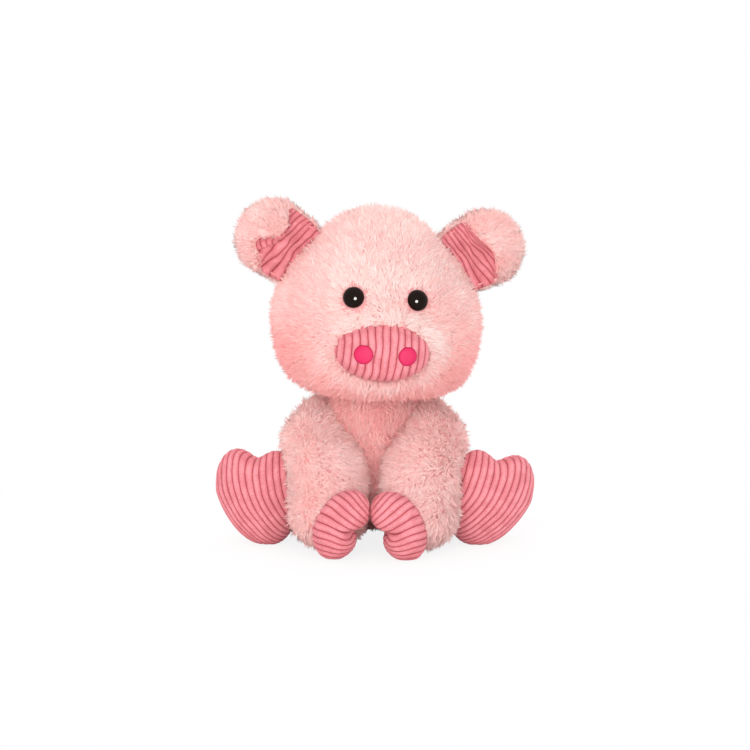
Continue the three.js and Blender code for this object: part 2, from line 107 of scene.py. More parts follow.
# Each line gives a lamp's place and aim in millimetres, its width in millimetres and its watts.
add_lamp("key_lamp", (-260, -1200, 720), (0, -20, 120), 700, 5.7)
add_lamp("left_fill_lamp", (-800, -950, 240), (0, -20, 80), 700, 2.6)
add_lamp("right_fill_lamp", (800, -950, 260), (0, -20, 80), 700, 3.6)
add_lamp("top_lamp", (0, -100, 1200), (0, -20, 100), 900, 2)
add_lamp("left_back_lamp", (-900, 900, 650), (0, 0, 110), 800, 5)
add_lamp("right_back_lamp", (900, 900, 650), (0, 0, 110), 800, 5)
add_lamp("catch_light", (180, -1260, 240), (0, -20, 185), 520, 85, mirrored=True)

# %% [markdown]
# The rest of the light comes from the white room. What the camera sees behind the pig should be plain
# white, and that could be had by turning the room's light up, but then the pink would wash out.
# Instead the room is plain white only for rays that come from the camera or off something glossy or
# clear, and a softer white for the light that falls on the pig.


# %% The white room
def seen_directly(nodes, links):
    """1 for a ray from the camera, or one mirrored or passed through on its way, and 0 for light."""
    path = nodes.new("ShaderNodeLightPath")
    first = nodes.new("ShaderNodeMath")
    first.operation = "MAXIMUM"
    links.new(path.outputs["Is Camera Ray"], first.inputs[0])
    links.new(path.outputs["Is Glossy Ray"], first.inputs[1])
    second = nodes.new("ShaderNodeMath")
    second.operation = "MAXIMUM"
    links.new(first.outputs[0], second.inputs[0])
    links.new(path.outputs["Is Transmission Ray"], second.inputs[1])
    return second.outputs[0]


def light_world(strength):
    """A white world of the given strength, which is seen directly as 1, plain white."""
    world = bpy.data.worlds.new("white_room")
    bpy.context.scene.world = world
    world.use_nodes = True
    nodes, links = world.node_tree.nodes, world.node_tree.links
    nodes.clear()
    soft, plain = nodes.new("ShaderNodeBackground"), nodes.new("ShaderNodeBackground")
    soft.inputs["Color"].default_value = (1, 1, 1, 1)
    soft.inputs["Strength"].default_value = strength
    plain.inputs["Color"].default_value = (1, 1, 1, 1)
    plain.inputs["Strength"].default_value = 1
    mix, out = nodes.new("ShaderNodeMixShader"), nodes.new("ShaderNodeOutputWorld")
    links.new(seen_directly(nodes, links), mix.inputs[0])
    links.new(soft.outputs[0], mix.inputs[1])
    links.new(plain.outputs[0], mix.inputs[2])
    links.new(mix.outputs[0], out.inputs[0])


light_world(0.72)
print("world", bpy.context.scene.world.name)

# %% [markdown]
# The pig sits on a sheet of white paper that runs out of view without an edge. A plain white surface
# would turn grey away from the lamps, so the paper glows a little for the camera, less right under
# the pig, where it keeps a faint shadow.

# %% The floor
PAPER_COLOUR = (0.92, 0.91, 0.91)
SHADOW_NEAR, SHADOW_FAR = 0.12, 0.34


def add_floor(size, near_white):
    """White paper. Under the pig the camera sees near_white of a plain white glow, which leaves a faint
    shadow, and the share rises to the whole glow away from it, so no edge shows."""
    material = bpy.data.materials.new("white_floor")
    material.use_nodes = True
    nodes, links = material.node_tree.nodes, material.node_tree.links
    nodes.clear()
    paper, glow = nodes.new("ShaderNodeBsdfDiffuse"), nodes.new("ShaderNodeEmission")
    paper.inputs["Color"].default_value = (*PAPER_COLOUR, 1)
    glow.inputs["Color"].default_value = (1, 1, 1, 1)
    glow.inputs["Strength"].default_value = 1
    far = nodes.new("ShaderNodeVectorMath")
    far.operation = "LENGTH"
    links.new(nodes.new("ShaderNodeTexCoord").outputs["Object"], far.inputs[0])
    rise = nodes.new("ShaderNodeMapRange")
    rise.interpolation_type = "SMOOTHSTEP"
    rise.inputs["From Min"].default_value, rise.inputs["From Max"].default_value = SHADOW_NEAR, SHADOW_FAR
    rise.inputs["To Min"].default_value, rise.inputs["To Max"].default_value = near_white, 1.0
    links.new(far.outputs["Value"], rise.inputs["Value"])
    share = nodes.new("ShaderNodeMath")
    share.operation = "MULTIPLY"
    links.new(rise.outputs[0], share.inputs[1])
    links.new(seen_directly(nodes, links), share.inputs[0])
    mix, out = nodes.new("ShaderNodeMixShader"), nodes.new("ShaderNodeOutputMaterial")
    links.new(share.outputs[0], mix.inputs[0])
    links.new(paper.outputs[0], mix.inputs[1])
    links.new(glow.outputs[0], mix.inputs[2])
    links.new(mix.outputs[0], out.inputs[0])
    mesh = bpy.data.meshes.new("floor")
    half = size * MM / 2
    corners = [(-half, -half, 0), (half, -half, 0), (half, half, 0), (-half, half, 0)]
    mesh.from_pydata(corners, [], [(0, 1, 2, 3)])
    mesh.materials.append(material)
    floor = bpy.data.objects.new("floor", mesh)
    bpy.context.scene.collection.objects.link(floor)
    floor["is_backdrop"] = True


add_floor(6000, 0.85)

# %% [markdown]
# Cloth is never quite even, so several pieces below bend, tint or lean by a smooth random value that
# depends only on where a point is. Plain random numbers would jump from point to point. So a lattice
# of whole-number cells gets one fixed random number per corner, and a point takes a smooth mix of the
# eight corners round it.


# %% Smooth random values
def corner_value(cells, seed):
    """A fixed number from 0 to 1 for each whole-number cell, by mixing its three indices."""
    x, y, z = (cells[..., i].astype(np.int64) for i in range(3))
    h = (x * 374761393 + y * 668265263 + z * 1440662683 + seed * 1274126177) & 0xFFFFFFFF
    h = ((h ^ (h >> 13)) * 1274126177) & 0xFFFFFFFF
    h = h ^ (h >> 16)
    return (h & 0xFFFFFF) / float(0xFFFFFF)


def smooth_random(points, spacing, seed):
    """From -1 to 1: the eight lattice corners round each point, mixed by 3t^2 - 2t^3 along each axis."""
    at = points / spacing
    low = np.floor(at)
    t = at - low
    t = t * t * (3 - 2 * t)
    total = np.zeros(points.shape[:-1])
    for i in (0, 1):
        for j in (0, 1):
            for k in (0, 1):
                share = np.ones(points.shape[:-1])
                for axis, bit in enumerate((i, j, k)):
                    share = share * (t[..., axis] if bit else 1 - t[..., axis])
                total += share * corner_value(low + np.array((i, j, k)), seed)
    return 2 * total - 1


def smooth_random_vector(points, spacing, seed):
    """Three smooth random values as one vector for each point."""
    return np.stack([smooth_random(points, spacing, seed + i) for i in range(3)], axis=-1)


sample = smooth_random(np.indices((9, 9, 9)).reshape(3, -1).T * 3.7, 10.0, 1)
print("smooth random values from", round(sample.min(), 2), "to", round(sample.max(), 2))

# %% [markdown]
# Every stuffed piece is a closed surface worked out on a grid: one parameter runs from pole to pole
# and the other goes round. It could be blown up by a cloth simulation instead, but a tight stuffed
# form has few folds, and a grid also gives each point's outward direction and its place on the cloth,
# which the plush and the ribs need.


# %% Closed grids
def pole_grid(rings, sides):
    """The two parameters of a closed surface: way from 0 to 1, and an angle that goes once round."""
    way = np.linspace(0, 1, rings + 1)[:, None] * np.ones((1, sides))
    angle = np.arange(sides)[None, :] * (2 * np.pi / sides) * np.ones((rings + 1, 1))
    return way, angle


def unit(vectors):
    """Each vector divided by its own length."""
    return vectors / np.maximum(np.linalg.norm(vectors, axis=-1, keepdims=True), 1e-9)


def outward(grid):
    """The cross product of the steps round and along the grid. A pole takes its neighbours' mean."""
    round_step = np.roll(grid, -1, axis=1) - np.roll(grid, 1, axis=1)
    along_step = np.gradient(grid, axis=0)
    normal = np.cross(round_step, along_step)
    normal[0] = np.mean(unit(normal[1]), axis=0)
    normal[-1] = np.mean(unit(normal[-2]), axis=0)
    return unit(normal)


print("a grid of 4 rings and 6 sides holds", pole_grid(4, 6)[0].shape, "points")

# %% [markdown]
# Blender can be given a mesh point by point, but the largest pile alone has 165,000 points. Whole
# arrays are handed over at once instead, with the map and the shading of every face corner.


# %% From grids to meshes
def mesh_from_arrays(name, points, corners, sizes, uvs=None, normals=None):
    """A mesh from whole arrays. uvs holds named maps, one pair for each face corner, and normals holds
    the direction that each face corner is shaded as facing."""
    mesh = bpy.data.meshes.new(name)
    mesh.vertices.add(len(points))
    mesh.vertices.foreach_set("co", np.ascontiguousarray(points * MM, dtype=np.float32).ravel())
    mesh.loops.add(len(corners))
    mesh.loops.foreach_set("vertex_index", np.ascontiguousarray(corners, dtype=np.int32))
    mesh.polygons.add(len(sizes))
    starts = np.concatenate(([0], np.cumsum(sizes)[:-1])).astype(np.int32)
    mesh.polygons.foreach_set("loop_start", starts)
    mesh.update(calc_edges=True)
    for layer_name, pairs in (uvs or {}).items():
        layer = mesh.uv_layers.new(name=layer_name)
        layer.uv.foreach_set("vector", np.ascontiguousarray(pairs, dtype=np.float32).ravel())
    mesh.validate()
    mesh.update()
    if normals is not None:
        shaded = mesh.attributes.new("custom_normal", "FLOAT_VECTOR", "CORNER")
        shaded.data.foreach_set("vector", np.ascontiguousarray(normals, dtype=np.float32).ravel())
    return mesh


def closed_faces(rings, sides):
    """Corner numbers of a closed pole-to-pole surface: a fan at each pole and four-sided faces between."""
    side = np.arange(sides)
    after = (side + 1) % sides
    last = 1 + (rings - 1) * sides
    bottom = np.stack([np.zeros(sides, int), 1 + after, 1 + side], axis=-1)
    ring = (1 + np.arange(rings - 2) * sides)[:, None]
    quads = np.stack([ring + side, ring + after, ring + sides + after, ring + sides + side], axis=-1)
    top = np.stack([last - sides + side, last - sides + after, np.full(sides, last)], axis=-1)
    corners = np.concatenate([bottom.ravel(), quads.reshape(-1), top.ravel()])
    sizes = np.concatenate([np.full(sides, 3), np.full((rings - 2) * sides, 4), np.full(sides, 3)])
    return corners, sizes


def closed_corner_values(grid, rings, sides):
    """The grid's values at every face corner, in the order of closed_faces. The last column is one past
    the first, so that a map that goes round doesn't run back on itself."""
    side = np.arange(sides)
    bottom = np.stack([grid[0, :-1], grid[1, side + 1], grid[1, side]], axis=1)
    low, high = grid[1:rings - 1], grid[2:rings]
    quads = np.stack([low[:, side], low[:, side + 1], high[:, side + 1], high[:, side]], axis=2)
    top = np.stack([grid[rings - 1, side], grid[rings - 1, side + 1], grid[rings, :-1]], axis=1)
    depth = grid.shape[-1]
    return np.concatenate([bottom.reshape(-1, depth), quads.reshape(-1, depth), top.reshape(-1, depth)])


print("faces of a closed surface with 4 rings and 6 sides:", len(closed_faces(4, 6)[1]))

# %% [markdown]
# A mesh becomes a piece of the pig when it has a finish, rides on one of the bodies and says which
# plain solids it stands for. That could be written out for each piece, but then one would be
# forgotten. So every piece below is made by these two helpers.


# %% From meshes to pieces
def add_object(name, mesh, material, body, replaced=()):
    """A mesh as a piece that rides on a body, takes a finish slot and stands for the replaced nodes."""
    mesh.materials.append(material)
    piece = bpy.data.objects.new(name, mesh)
    bpy.context.scene.collection.objects.link(piece)
    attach(piece, body)
    if replaced:
        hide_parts(*replaced)
    return piece


def add_closed_piece(name, grid, material, body, replaced=(), uvs=None):
    """A pole-to-pole grid as an object, with one point at each pole."""
    rings, sides = grid.shape[0] - 1, grid.shape[1]
    points = np.concatenate([grid[0, :1], grid[1:-1].reshape(-1, 3), grid[-1, :1]])
    corners, sizes = closed_faces(rings, sides)
    maps = {n: closed_corner_values(v, rings, sides) for n, v in (uvs or {}).items()}
    mesh = mesh_from_arrays(name, points, corners, sizes, maps)
    print(name, len(points), "points")
    return add_object(name, mesh, material, body, replaced)


print("solids in the frame", sorted(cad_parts))

# %% [markdown]
# The stuffed forms repeat the CAD model's own sizes, with a much finer grid. The torso and the head
# are outlines turned about an upright axis, like a pot on a wheel, but wider than they are deep. Limbs
# are round sections swept along a curve. A subdivided box could be pulled into the same shapes by
# hand, but an outline of a dozen points is easier to read and to change.

# %% Sizes of the stuffed forms, in millimetres
FLOOR_PRESS = 0.5
GAP = 0.3
TORSO_HALF_WIDTH, TORSO_HALF_DEPTH, TORSO_HEIGHT, TORSO_LEAN = 49, 43, 119, 16
SEAT_SETBACK, SEAT_RISE, SEAT_LIFT = 16, 45, 14
TORSO_OUTLINE = np.array([
    (0, 0), (0.45, 0.001), (0.74, 0.012), (0.91, 0.075), (0.99, 0.19), (1, 0.3), (0.95, 0.44),
    (0.84, 0.59), (0.72, 0.74), (0.64, 0.87), (0.54, 0.955), (0.33, 0.994), (0, 1),
])
NECK_HEIGHT = 112
HEAD_HALF_WIDTH, HEAD_HALF_DEPTH, HEAD_HEIGHT, HEAD_CHEEK_HEIGHT = 73, 61, 132.5, 50
HEAD_CENTRE = np.array((0.4, -20, 160.0))
HEAD_ROLL, HEAD_TURN, HEAD_DEPTH_POWER = math.radians(3.3), math.radians(6.5), 0.8
HEAD_SETTLE, HEAD_SETTLE_SLOPE = 1.2, 0.03
HEAD_OUTLINE = np.array([
    (0, 0), (0.36, 0.006), (0.6, 0.026), (0.78, 0.075), (0.88, 0.13), (0.96, 0.235), (1, 0.38),
    (0.98, 0.5), (0.912, 0.605), (0.8, 0.695), (0.67, 0.782), (0.527, 0.868), (0.37, 0.94),
    (0.205, 0.985), (0, 1),
])
print("torso", TORSO_HEIGHT, "mm high, head", 2 * HEAD_HALF_WIDTH, "mm wide")

# %% [markdown]
# A few points have to become a smooth line. Straight pieces between them would show as edges in the
# cloth, and Blender's own curves would have to be read back before the grid could be made. So the
# line is a cubic from point to point, which goes through every one of them and has no corner there.


# %% Curves through points
def outline_curve(points, t):
    """A cubic from point to point, whose slope at each point is half the step between its neighbours,
    at shares t of the point count."""
    last = len(points) - 1
    at = np.clip(t, 0, 1) * last
    k = np.minimum(np.floor(at).astype(int), last)
    w = (at - k)[..., None]
    p0, p1 = points[np.maximum(k - 1, 0)], points[k]
    p2, p3 = points[np.minimum(k + 1, last)], points[np.minimum(k + 2, last)]
    v0, v1 = (p2 - p0) / 2, (p3 - p1) / 2
    return (2 * p1 - 2 * p2 + v0 + v1) * w**3 + (-3 * p1 + 3 * p2 - 2 * v0 - v1) * w**2 + v0 * w + p1


def turned_form(outline, way, angle, half_width, half_depth, height, depth_power=1.0):
    """x = width * out * cos(angle), y = depth * out^power * sin(angle), z = height * up."""
    out_up = outline_curve(outline, way)
    out = np.where((way <= 0) | (way >= 1), 0, np.maximum(out_up[..., 0], 0))
    return np.stack([
        half_width * out * np.cos(angle),
        half_depth * out**depth_power * np.sin(angle),
        height * out_up[..., 1],
    ], axis=-1)


def outline_reach(outline, up):
    """How far out an outline is at a height, by reading a dense table of the curve."""
    dense = outline_curve(outline, np.linspace(0, 1, 600))
    return np.interp(up, dense[:, 1], dense[:, 0], left=0, right=0)


def limb_curve(stations, t):
    """A cubic through the stations, and its direction, at shares t. Its slopes are weighed by the root
    of each step's length, so that it doesn't swing out where the stations are unevenly spaced."""
    points = stations[:, :3]
    points = np.concatenate([2 * points[:1] - points[1:2], points, 2 * points[-1:] - points[-2:-1]])
    last = len(stations) - 1
    at = np.clip(t, 0, 1) * last
    k = np.minimum(np.floor(at).astype(int), last - 1)
    w = (at - k)[..., None]
    p0, p1, p2, p3 = (points[k + i] for i in range(4))
    steps = (p1 - p0, p2 - p1, p3 - p2)
    d0, d1, d2 = (np.linalg.norm(step, axis=-1, keepdims=True) ** 0.5 for step in steps)
    v1 = ((p1 - p0) / d0 - (p2 - p0) / (d0 + d1) + (p2 - p1) / d1) * d1
    v2 = ((p2 - p1) / d1 - (p3 - p1) / (d1 + d2) + (p3 - p2) / d2) * d1
    c2, c3 = -3 * p1 + 3 * p2 - 2 * v1 - v2, 2 * p1 - 2 * p2 + v1 + v2
    return p1 + v1 * w + c2 * w**2 + c3 * w**3, unit(v1 + 2 * c2 * w + 3 * c3 * w**2)


def limb_form(stations, depth_share, way, angle, cap_share=0.2):
    """A round section carried along a curve, with a rounded cap over the first and last shares of way.
    The section is radius wide and depth_share * radius deep. A cap closes as a quarter circle."""
    body = np.clip((way - cap_share) / (1 - 2 * cap_share), 0, 1)
    cap = np.minimum(way / cap_share - 1, 0) + np.maximum((way - 1 + cap_share) / cap_share, 0)
    middle, along = limb_curve(stations, body)
    last = len(stations) - 1
    k = np.minimum(np.floor(body * last).astype(int), last - 1)
    w = body * last - k
    radius = stations[k, 3] + (stations[k + 1, 3] - stations[k, 3]) * w * w * (3 - 2 * w)
    out = unit(np.cross(np.array((0, 0, 1.0)), along))
    up = np.cross(along, out)
    close = np.where(np.abs(cap) >= 1, 0, np.cos(cap * np.pi / 2))
    depth = depth_share * radius
    return (
        middle
        + along * (depth * np.sin(cap * np.pi / 2))[..., None]
        + out * (radius * close * np.cos(angle))[..., None]
        + up * (depth * close * np.sin(angle))[..., None]
    )


widest = outline_reach(HEAD_OUTLINE, np.linspace(0, 1, 50)).argmax() / 49
print("the head is widest at", round(widest, 2), "of its height")

# %% [markdown]
# The head is turned a little to one side and tilted a little, as a toy sits when it is put down. It is
# worked out upright in its own frame, where left and right are alike, and then turned.


# %% Turning between frames
def turn_about(points, pivot, axis, degrees):
    """The points turned about an axis k through a pivot. With p from the pivot, each goes to
    p * cos(a) + (k x p) * sin(a) + k * (k . p) * (1 - cos(a))."""
    a = math.radians(degrees)
    k = np.array(axis, float)
    p = points - pivot
    return pivot + p * math.cos(a) + np.cross(k, p) * math.sin(a) + (p @ k)[..., None] * k * (1 - math.cos(a))


ROLL = np.array([
    (math.cos(HEAD_ROLL), 0, math.sin(HEAD_ROLL)), (0, 1, 0), (-math.sin(HEAD_ROLL), 0, math.cos(HEAD_ROLL)),
])
TURN = np.array([
    (math.cos(HEAD_TURN), -math.sin(HEAD_TURN), 0), (math.sin(HEAD_TURN), math.cos(HEAD_TURN), 0), (0, 0, 1),
])
HEAD_AXES = TURN @ ROLL


def from_head(points):
    """From the head's own frame, about the middle of its cheeks, to the whole pig's."""
    return points @ HEAD_AXES.T + HEAD_CENTRE


def to_head(points):
    """From the whole pig's frame to the head's own."""
    return (points - HEAD_CENTRE) @ HEAD_AXES


print("the head's front looks along", np.round(HEAD_AXES @ (0, -1, 0), 2))

# %% [markdown]
# Where two stuffed pieces meet they press flat against each other. A boolean cut could make the room
# for a limb, but it would leave a sharp edge and a new mesh. Instead a limb's points that would lie
# inside the torso are pushed out to its skin, at rest and through the limb's whole travel.


# %% Pressing pieces against the torso
TRAVEL_STEPS = 4


def torso_middle_y(z):
    """The torso leans forward towards the neck, and its seat is set back under the belly."""
    lean = -TORSO_LEAN * np.maximum(z / TORSO_HEIGHT, 0) ** 2
    return lean + SEAT_SETBACK * np.maximum(1 - z / SEAT_RISE, 0) ** 2


def out_of_torso(points):
    """A point inside the torso moves level, away from the torso's axis, to just outside its skin."""
    up = (points[..., 2] + FLOOR_PRESS) / TORSO_HEIGHT
    reach = outline_reach(TORSO_OUTLINE, up)
    wide, deep = TORSO_HALF_WIDTH * reach + GAP, TORSO_HALF_DEPTH * reach + GAP
    y0 = torso_middle_y(points[..., 2])
    level = np.sqrt((points[..., 0] / wide) ** 2 + ((points[..., 1] - y0) / deep) ** 2)
    push = np.where((reach > 0.02) & (level < 1), 1 / np.maximum(level, 0.05), 1)
    moved = points.copy()
    moved[..., 0] = points[..., 0] * push
    moved[..., 1] = y0 + (points[..., 1] - y0) * push
    return moved


def out_of_swept_torso(points, pivot, axis, degrees):
    """The same, with the limb turned to several places of its travel, ending at rest."""
    for step in range(TRAVEL_STEPS, -1, -1):
        there = degrees * step / TRAVEL_STEPS
        points = turn_about(points, pivot, axis, there)
        points = turn_about(out_of_torso(points), pivot, axis, -there)
    return points


def on_floor(points, height=0.0):
    """Nothing lies below the floor: the stuffed form is pressed flat there."""
    flat = points.copy()
    flat[..., 2] = np.maximum(flat[..., 2], height)
    return flat


pressed = out_of_torso(np.array([[20.0, 0.0, 60.0]]))[0]
print("a point 20 mm beside the torso's middle is pressed out to", np.round(pressed, 1))

# %% [markdown]
# The torso is a pear that leans forward into the neck and sits on a flattened seat. The head is a wide
# cushion, fullest at the cheeks, that has settled a little to one side on its neck. Both are flat
# where they rest on something, the torso on the floor and the head on the neck's seam. A weight
# simulation would flatten them too, but here the flat must lie exactly on the joint's plane.

# %% Torso and head surfaces
SEAT_LIFT_SPREAD, SEAT_LIFT_FRONT, SEAT_LIFT_RUN, SEAT_LIFT_TOP = 18, 18, 38, 40


def torso_surface(way, angle):
    """The outline turned about its axis and set on the floor. Between the hands the front of the seat
    rises off the floor: lift * exp(-(x / spread)^2), less towards the back and the top."""
    grid = turned_form(TORSO_OUTLINE, way, angle, TORSO_HALF_WIDTH, TORSO_HALF_DEPTH, TORSO_HEIGHT)
    grid[..., 2] -= FLOOR_PRESS
    grid[..., 1] += torso_middle_y(grid[..., 2])
    grid = on_floor(grid)
    x, y, z = grid[..., 0], grid[..., 1], grid[..., 2]
    front = np.clip((SEAT_LIFT_FRONT - y) / SEAT_LIFT_RUN, 0, 1) * np.clip(1 - z / SEAT_LIFT_TOP, 0, 1)
    lift = SEAT_LIFT * np.exp(-((x / SEAT_LIFT_SPREAD) ** 2)) * front
    grid[..., 2] = np.minimum(z + lift, NECK_HEIGHT)
    return grid


def head_surface(way, angle):
    """The outline turned about its axis, moved across by settle - slope * z, turned into the pig's frame
    and flat at the neck."""
    grid = turned_form(
        HEAD_OUTLINE, way, angle, HEAD_HALF_WIDTH, HEAD_HALF_DEPTH, HEAD_HEIGHT, HEAD_DEPTH_POWER
    )
    grid[..., 2] -= HEAD_CHEEK_HEIGHT
    grid[..., 0] += HEAD_SETTLE - HEAD_SETTLE_SLOPE * grid[..., 2]
    return on_floor(from_head(grid), NECK_HEIGHT + GAP)


print("the head's top is at", round(head_surface(*pole_grid(40, 40))[..., 2].max(), 1), "mm")

# %% [markdown]
# An arm hangs from the shoulder over the belly, thickest at the wrist where the stuffing has sunk. A
# leg is a short thick roll that points outwards and a little forward. A cylinder could be bent with
# a modifier. A curve through a few stations, each with a place and a radius, bends and swells at once.

# %% Limb sizes and surfaces
SHOULDER = np.array((38, -14, 90.0))
ARM_STATIONS = np.array([(38, -14, 90, 16), (43.5, -31, 76, 21.5), (34, -49, 56, 26), (33, -62, 27.5, 25.5)])
ARM_DEPTH_SHARE, ARM_LIFT = 0.86, 25
HIP = np.array((34, 4, 29.0))
LEG_STATIONS = np.array([(34, 4, 29, 24), (58, -8, 29, 23), (77, -17, 31, 19.0)])
LEG_SPREAD = 25


def arm_surface(way, angle):
    """The arm's left form, pressed out of the torso through its whole lift."""
    grid = limb_form(ARM_STATIONS, ARM_DEPTH_SHARE, way, angle)
    return on_floor(out_of_swept_torso(grid, SHOULDER, (-1, 0, 0), ARM_LIFT))


def out_of_arm(points):
    """A point inside the arm moves straight away from the arm's middle line, to just outside it."""
    spans = len(ARM_STATIONS) - 1
    for share in np.linspace(0, 1, 4 * spans + 1):
        middle, _ = limb_curve(ARM_STATIONS, np.array(share))
        k = min(int(share * spans), spans - 1)
        w = share * spans - k
        radius = ARM_STATIONS[k, 3] + (ARM_STATIONS[k + 1, 3] - ARM_STATIONS[k, 3]) * w * w * (3 - 2 * w)
        away = points - middle
        far = np.linalg.norm(away, axis=-1, keepdims=True)
        clear = radius + GAP
        points = np.where(far < clear, middle + away * clear / np.maximum(far, 1), points)
    return points


def leg_surface(way, angle):
    """The leg's left form, pressed out of the arm above it and of the torso through its whole spread."""
    grid = limb_form(LEG_STATIONS, 1.0, way, angle, cap_share=0.25)
    grid = out_of_arm(grid)
    return on_floor(out_of_swept_torso(grid, HIP, (0, 0, 1), LEG_SPREAD))


print("the arm reaches down to", round(arm_surface(*pole_grid(30, 30))[..., 2].min(), 1), "mm")

# %% [markdown]
# A hoof is a flat two-toed cushion: an oval with a notch between the toes, swollen like a pillow. It
# is bent a little to one side, and each of the four points its own way, as on the real toy. It could
# be inflated from its flat pattern, but then the notch would close. Its frame has X to the toes, Y
# across and Z out of the sole.

# %% Hoof sizes and surface
HAND = dict(length=17.5, width=27, thick=15.5, notch=8.5, bend=2, yaw=14)
HANDS = {
    "left": dict(HAND, centre=(17.8, -83, 24), point=-116),
    "right": dict(HAND, centre=(23.4, -83, 25.2), point=-117),
}
FOOT = dict(length=38, width=32, thick=17, notch=12, bend=8, yaw=12)
FEET = {
    "left": dict(FOOT, centre=(86.3, -35, 35.4), point=10),
    "right": dict(FOOT, centre=(86.3, -35, 37.4), point=-1),
}
HOOF_OUTLINE_POWER, HOOF_FULLNESS_POWER = 2.3, 0.75
HOOF_HEEL_TAPER, HOOF_NOTCH_SPREAD = 0.2, 0.36


def hoof_axes(hoof):
    """The hoof's own axes. yaw turns its sole about the upright axis, and point turns its toes in the
    plane of the sole."""
    yaw, point = math.radians(hoof["yaw"]), math.radians(hoof["point"])
    sole = np.array((math.sin(yaw), -math.cos(yaw), 0))
    level = np.array((math.cos(yaw), math.sin(yaw), 0))
    toes = np.array((0, 0, math.cos(point))) + math.sin(point) * level
    return np.stack([toes, np.cross(sole, toes), sole])


def hoof_outline(hoof, angle):
    """How far the outline reaches at an angle: a squarish oval, less a bell-shaped notch at the toes."""
    turn = np.arctan2(np.sin(angle), np.cos(angle))
    heel = np.maximum(-np.cos(angle), 0)
    wide = hoof["width"] * (1 - HOOF_HEEL_TAPER * heel)
    p = HOOF_OUTLINE_POWER
    oval = ((np.abs(np.cos(angle)) / hoof["length"]) ** p + (np.abs(np.sin(angle)) / wide) ** p) ** (-1 / p)
    return oval - hoof["notch"] * np.exp(-((turn / HOOF_NOTCH_SPREAD) ** 2))


def hoof_local(hoof, way, angle):
    """x and y = outline * cos(rise)^fullness, z = thick * sin(rise), with rise from -90 to 90 degrees."""
    rise = (way - 0.5) * np.pi
    spread = np.where((way <= 0) | (way >= 1), 0, np.maximum(np.cos(rise), 0) ** HOOF_FULLNESS_POWER)
    reach = hoof_outline(hoof, angle) * spread
    return np.stack([reach * np.cos(angle), reach * np.sin(angle), hoof["thick"] * np.sin(rise)], axis=-1)


def heel_bend(hoof, along):
    """How far the hoof bends to its Y side: a parabola that starts at the toes and grows to the heel."""
    return hoof["bend"] * ((1 - along / hoof["length"]) / 2) ** 2


def from_hoof(hoof, points):
    """The bent hoof in the pig's frame."""
    bent = points.copy()
    bent[..., 1] += heel_bend(hoof, points[..., 0])
    return bent @ hoof_axes(hoof) + np.array(hoof["centre"])


def inside_hoof(hoof, points, grow):
    """Whether a point lies inside the hoof's form, grown a little."""
    local = (points - np.array(hoof["centre"])) @ hoof_axes(hoof).T
    local[..., 1] -= heel_bend(hoof, local[..., 0])
    high = np.abs(local[..., 2]) / (hoof["thick"] + grow)
    spread = np.maximum(1 - high**2, 0) ** (HOOF_FULLNESS_POWER / 2)
    reach = (hoof_outline(hoof, np.arctan2(local[..., 1], local[..., 0])) + grow) * spread
    return (high < 1) & (np.hypot(local[..., 0], local[..., 1]) < reach)


for hoof_name, hoof in (("hand", HANDS["left"]), ("foot", FEET["left"])):
    print(hoof_name, "hoof", hoof["length"] * 2, "by", hoof["width"] * 2, "mm")

# %% [markdown]
# Corduroy is woven with a pile that is cut into ribs. They could be a bump in the material alone, but
# they are 5 mm wide and show at the outline, so they are modelled. The fine threads along them are
# left to the material.

# %% Ribs
RIB_PITCH, RIB_HEIGHT = 5.2, 1.15
RIB_SQUARENESS, RIB_MEAN = 2.4, 0.7
HOOF_RIB_WANDER, HOOF_SEAM_DEPTH, HOOF_SEAM_RINGS = 0.13, 0.9, 1.6


def rib_profile(across):
    """The height of the pile, from 0 in a groove to 1 on a rib, at a place counted in ribs:
    (1 - share^squareness)^(1/2), with share from 0 in a rib's middle to 1 in the groove."""
    share = np.abs(2 * (across - np.floor(across)) - 1)
    return np.sqrt(np.maximum(1 - share**RIB_SQUARENESS, 0))


def ribbed(grid, across, height=RIB_HEIGHT):
    """The grid moved along its outward direction, by the pile's height less its mean."""
    return grid + outward(grid) * ((rib_profile(across) - RIB_MEAN) * height)[..., None]


def wrapped(values):
    """The grid's values with the first column repeated after the last."""
    return np.concatenate([values, values[:, :1]], axis=1)


def cloth_map(across, along):
    """The corduroy's own map: ribs across, and length along them in rib pitches."""
    return wrapped(np.stack([across, along / RIB_PITCH], axis=-1))


def meridian_lengths(grid):
    """How far each grid point is from each pole, measured along the surface."""
    steps = np.linalg.norm(np.diff(grid, axis=0), axis=-1)
    zero = np.zeros((1, grid.shape[1]))
    from_low = np.concatenate([zero, np.cumsum(steps, axis=0)])
    return from_low, from_low[-1:] - from_low


def hoof_grid(hoof, rings, sides, rib_run):
    """A hoof with its two corduroy panels, sewn together round the rim. On each panel a point's place
    on the flat cloth is its distance from the panel's middle, in its own direction."""
    way, angle = pole_grid(rings, sides)
    local = hoof_local(hoof, way, angle)
    from_back, from_sole = meridian_lengths(local)
    far = np.where(way > 0.5, from_sole, from_back)
    x, y = far * np.cos(angle), far * np.sin(angle)
    across = rib_run(x, y) / RIB_PITCH + HOOF_RIB_WANDER * smooth_random(local, 10, 5)
    seam = np.exp(-(((way - 0.5) * rings / HOOF_SEAM_RINGS) ** 2))
    shaped = ribbed(local, across) - outward(local) * (HOOF_SEAM_DEPTH * seam)[..., None]
    return shaped, across, x


print("rib pitch", RIB_PITCH, "mm, height", RIB_HEIGHT, "mm")

# %% [markdown]
# The snout, the nostrils and the eyes lie on the face. They could be dropped onto it with a shrinkwrap
# modifier, but the head's own formula gives the place and the way it faces at once. The pile also
# needs them, because it grows round them.

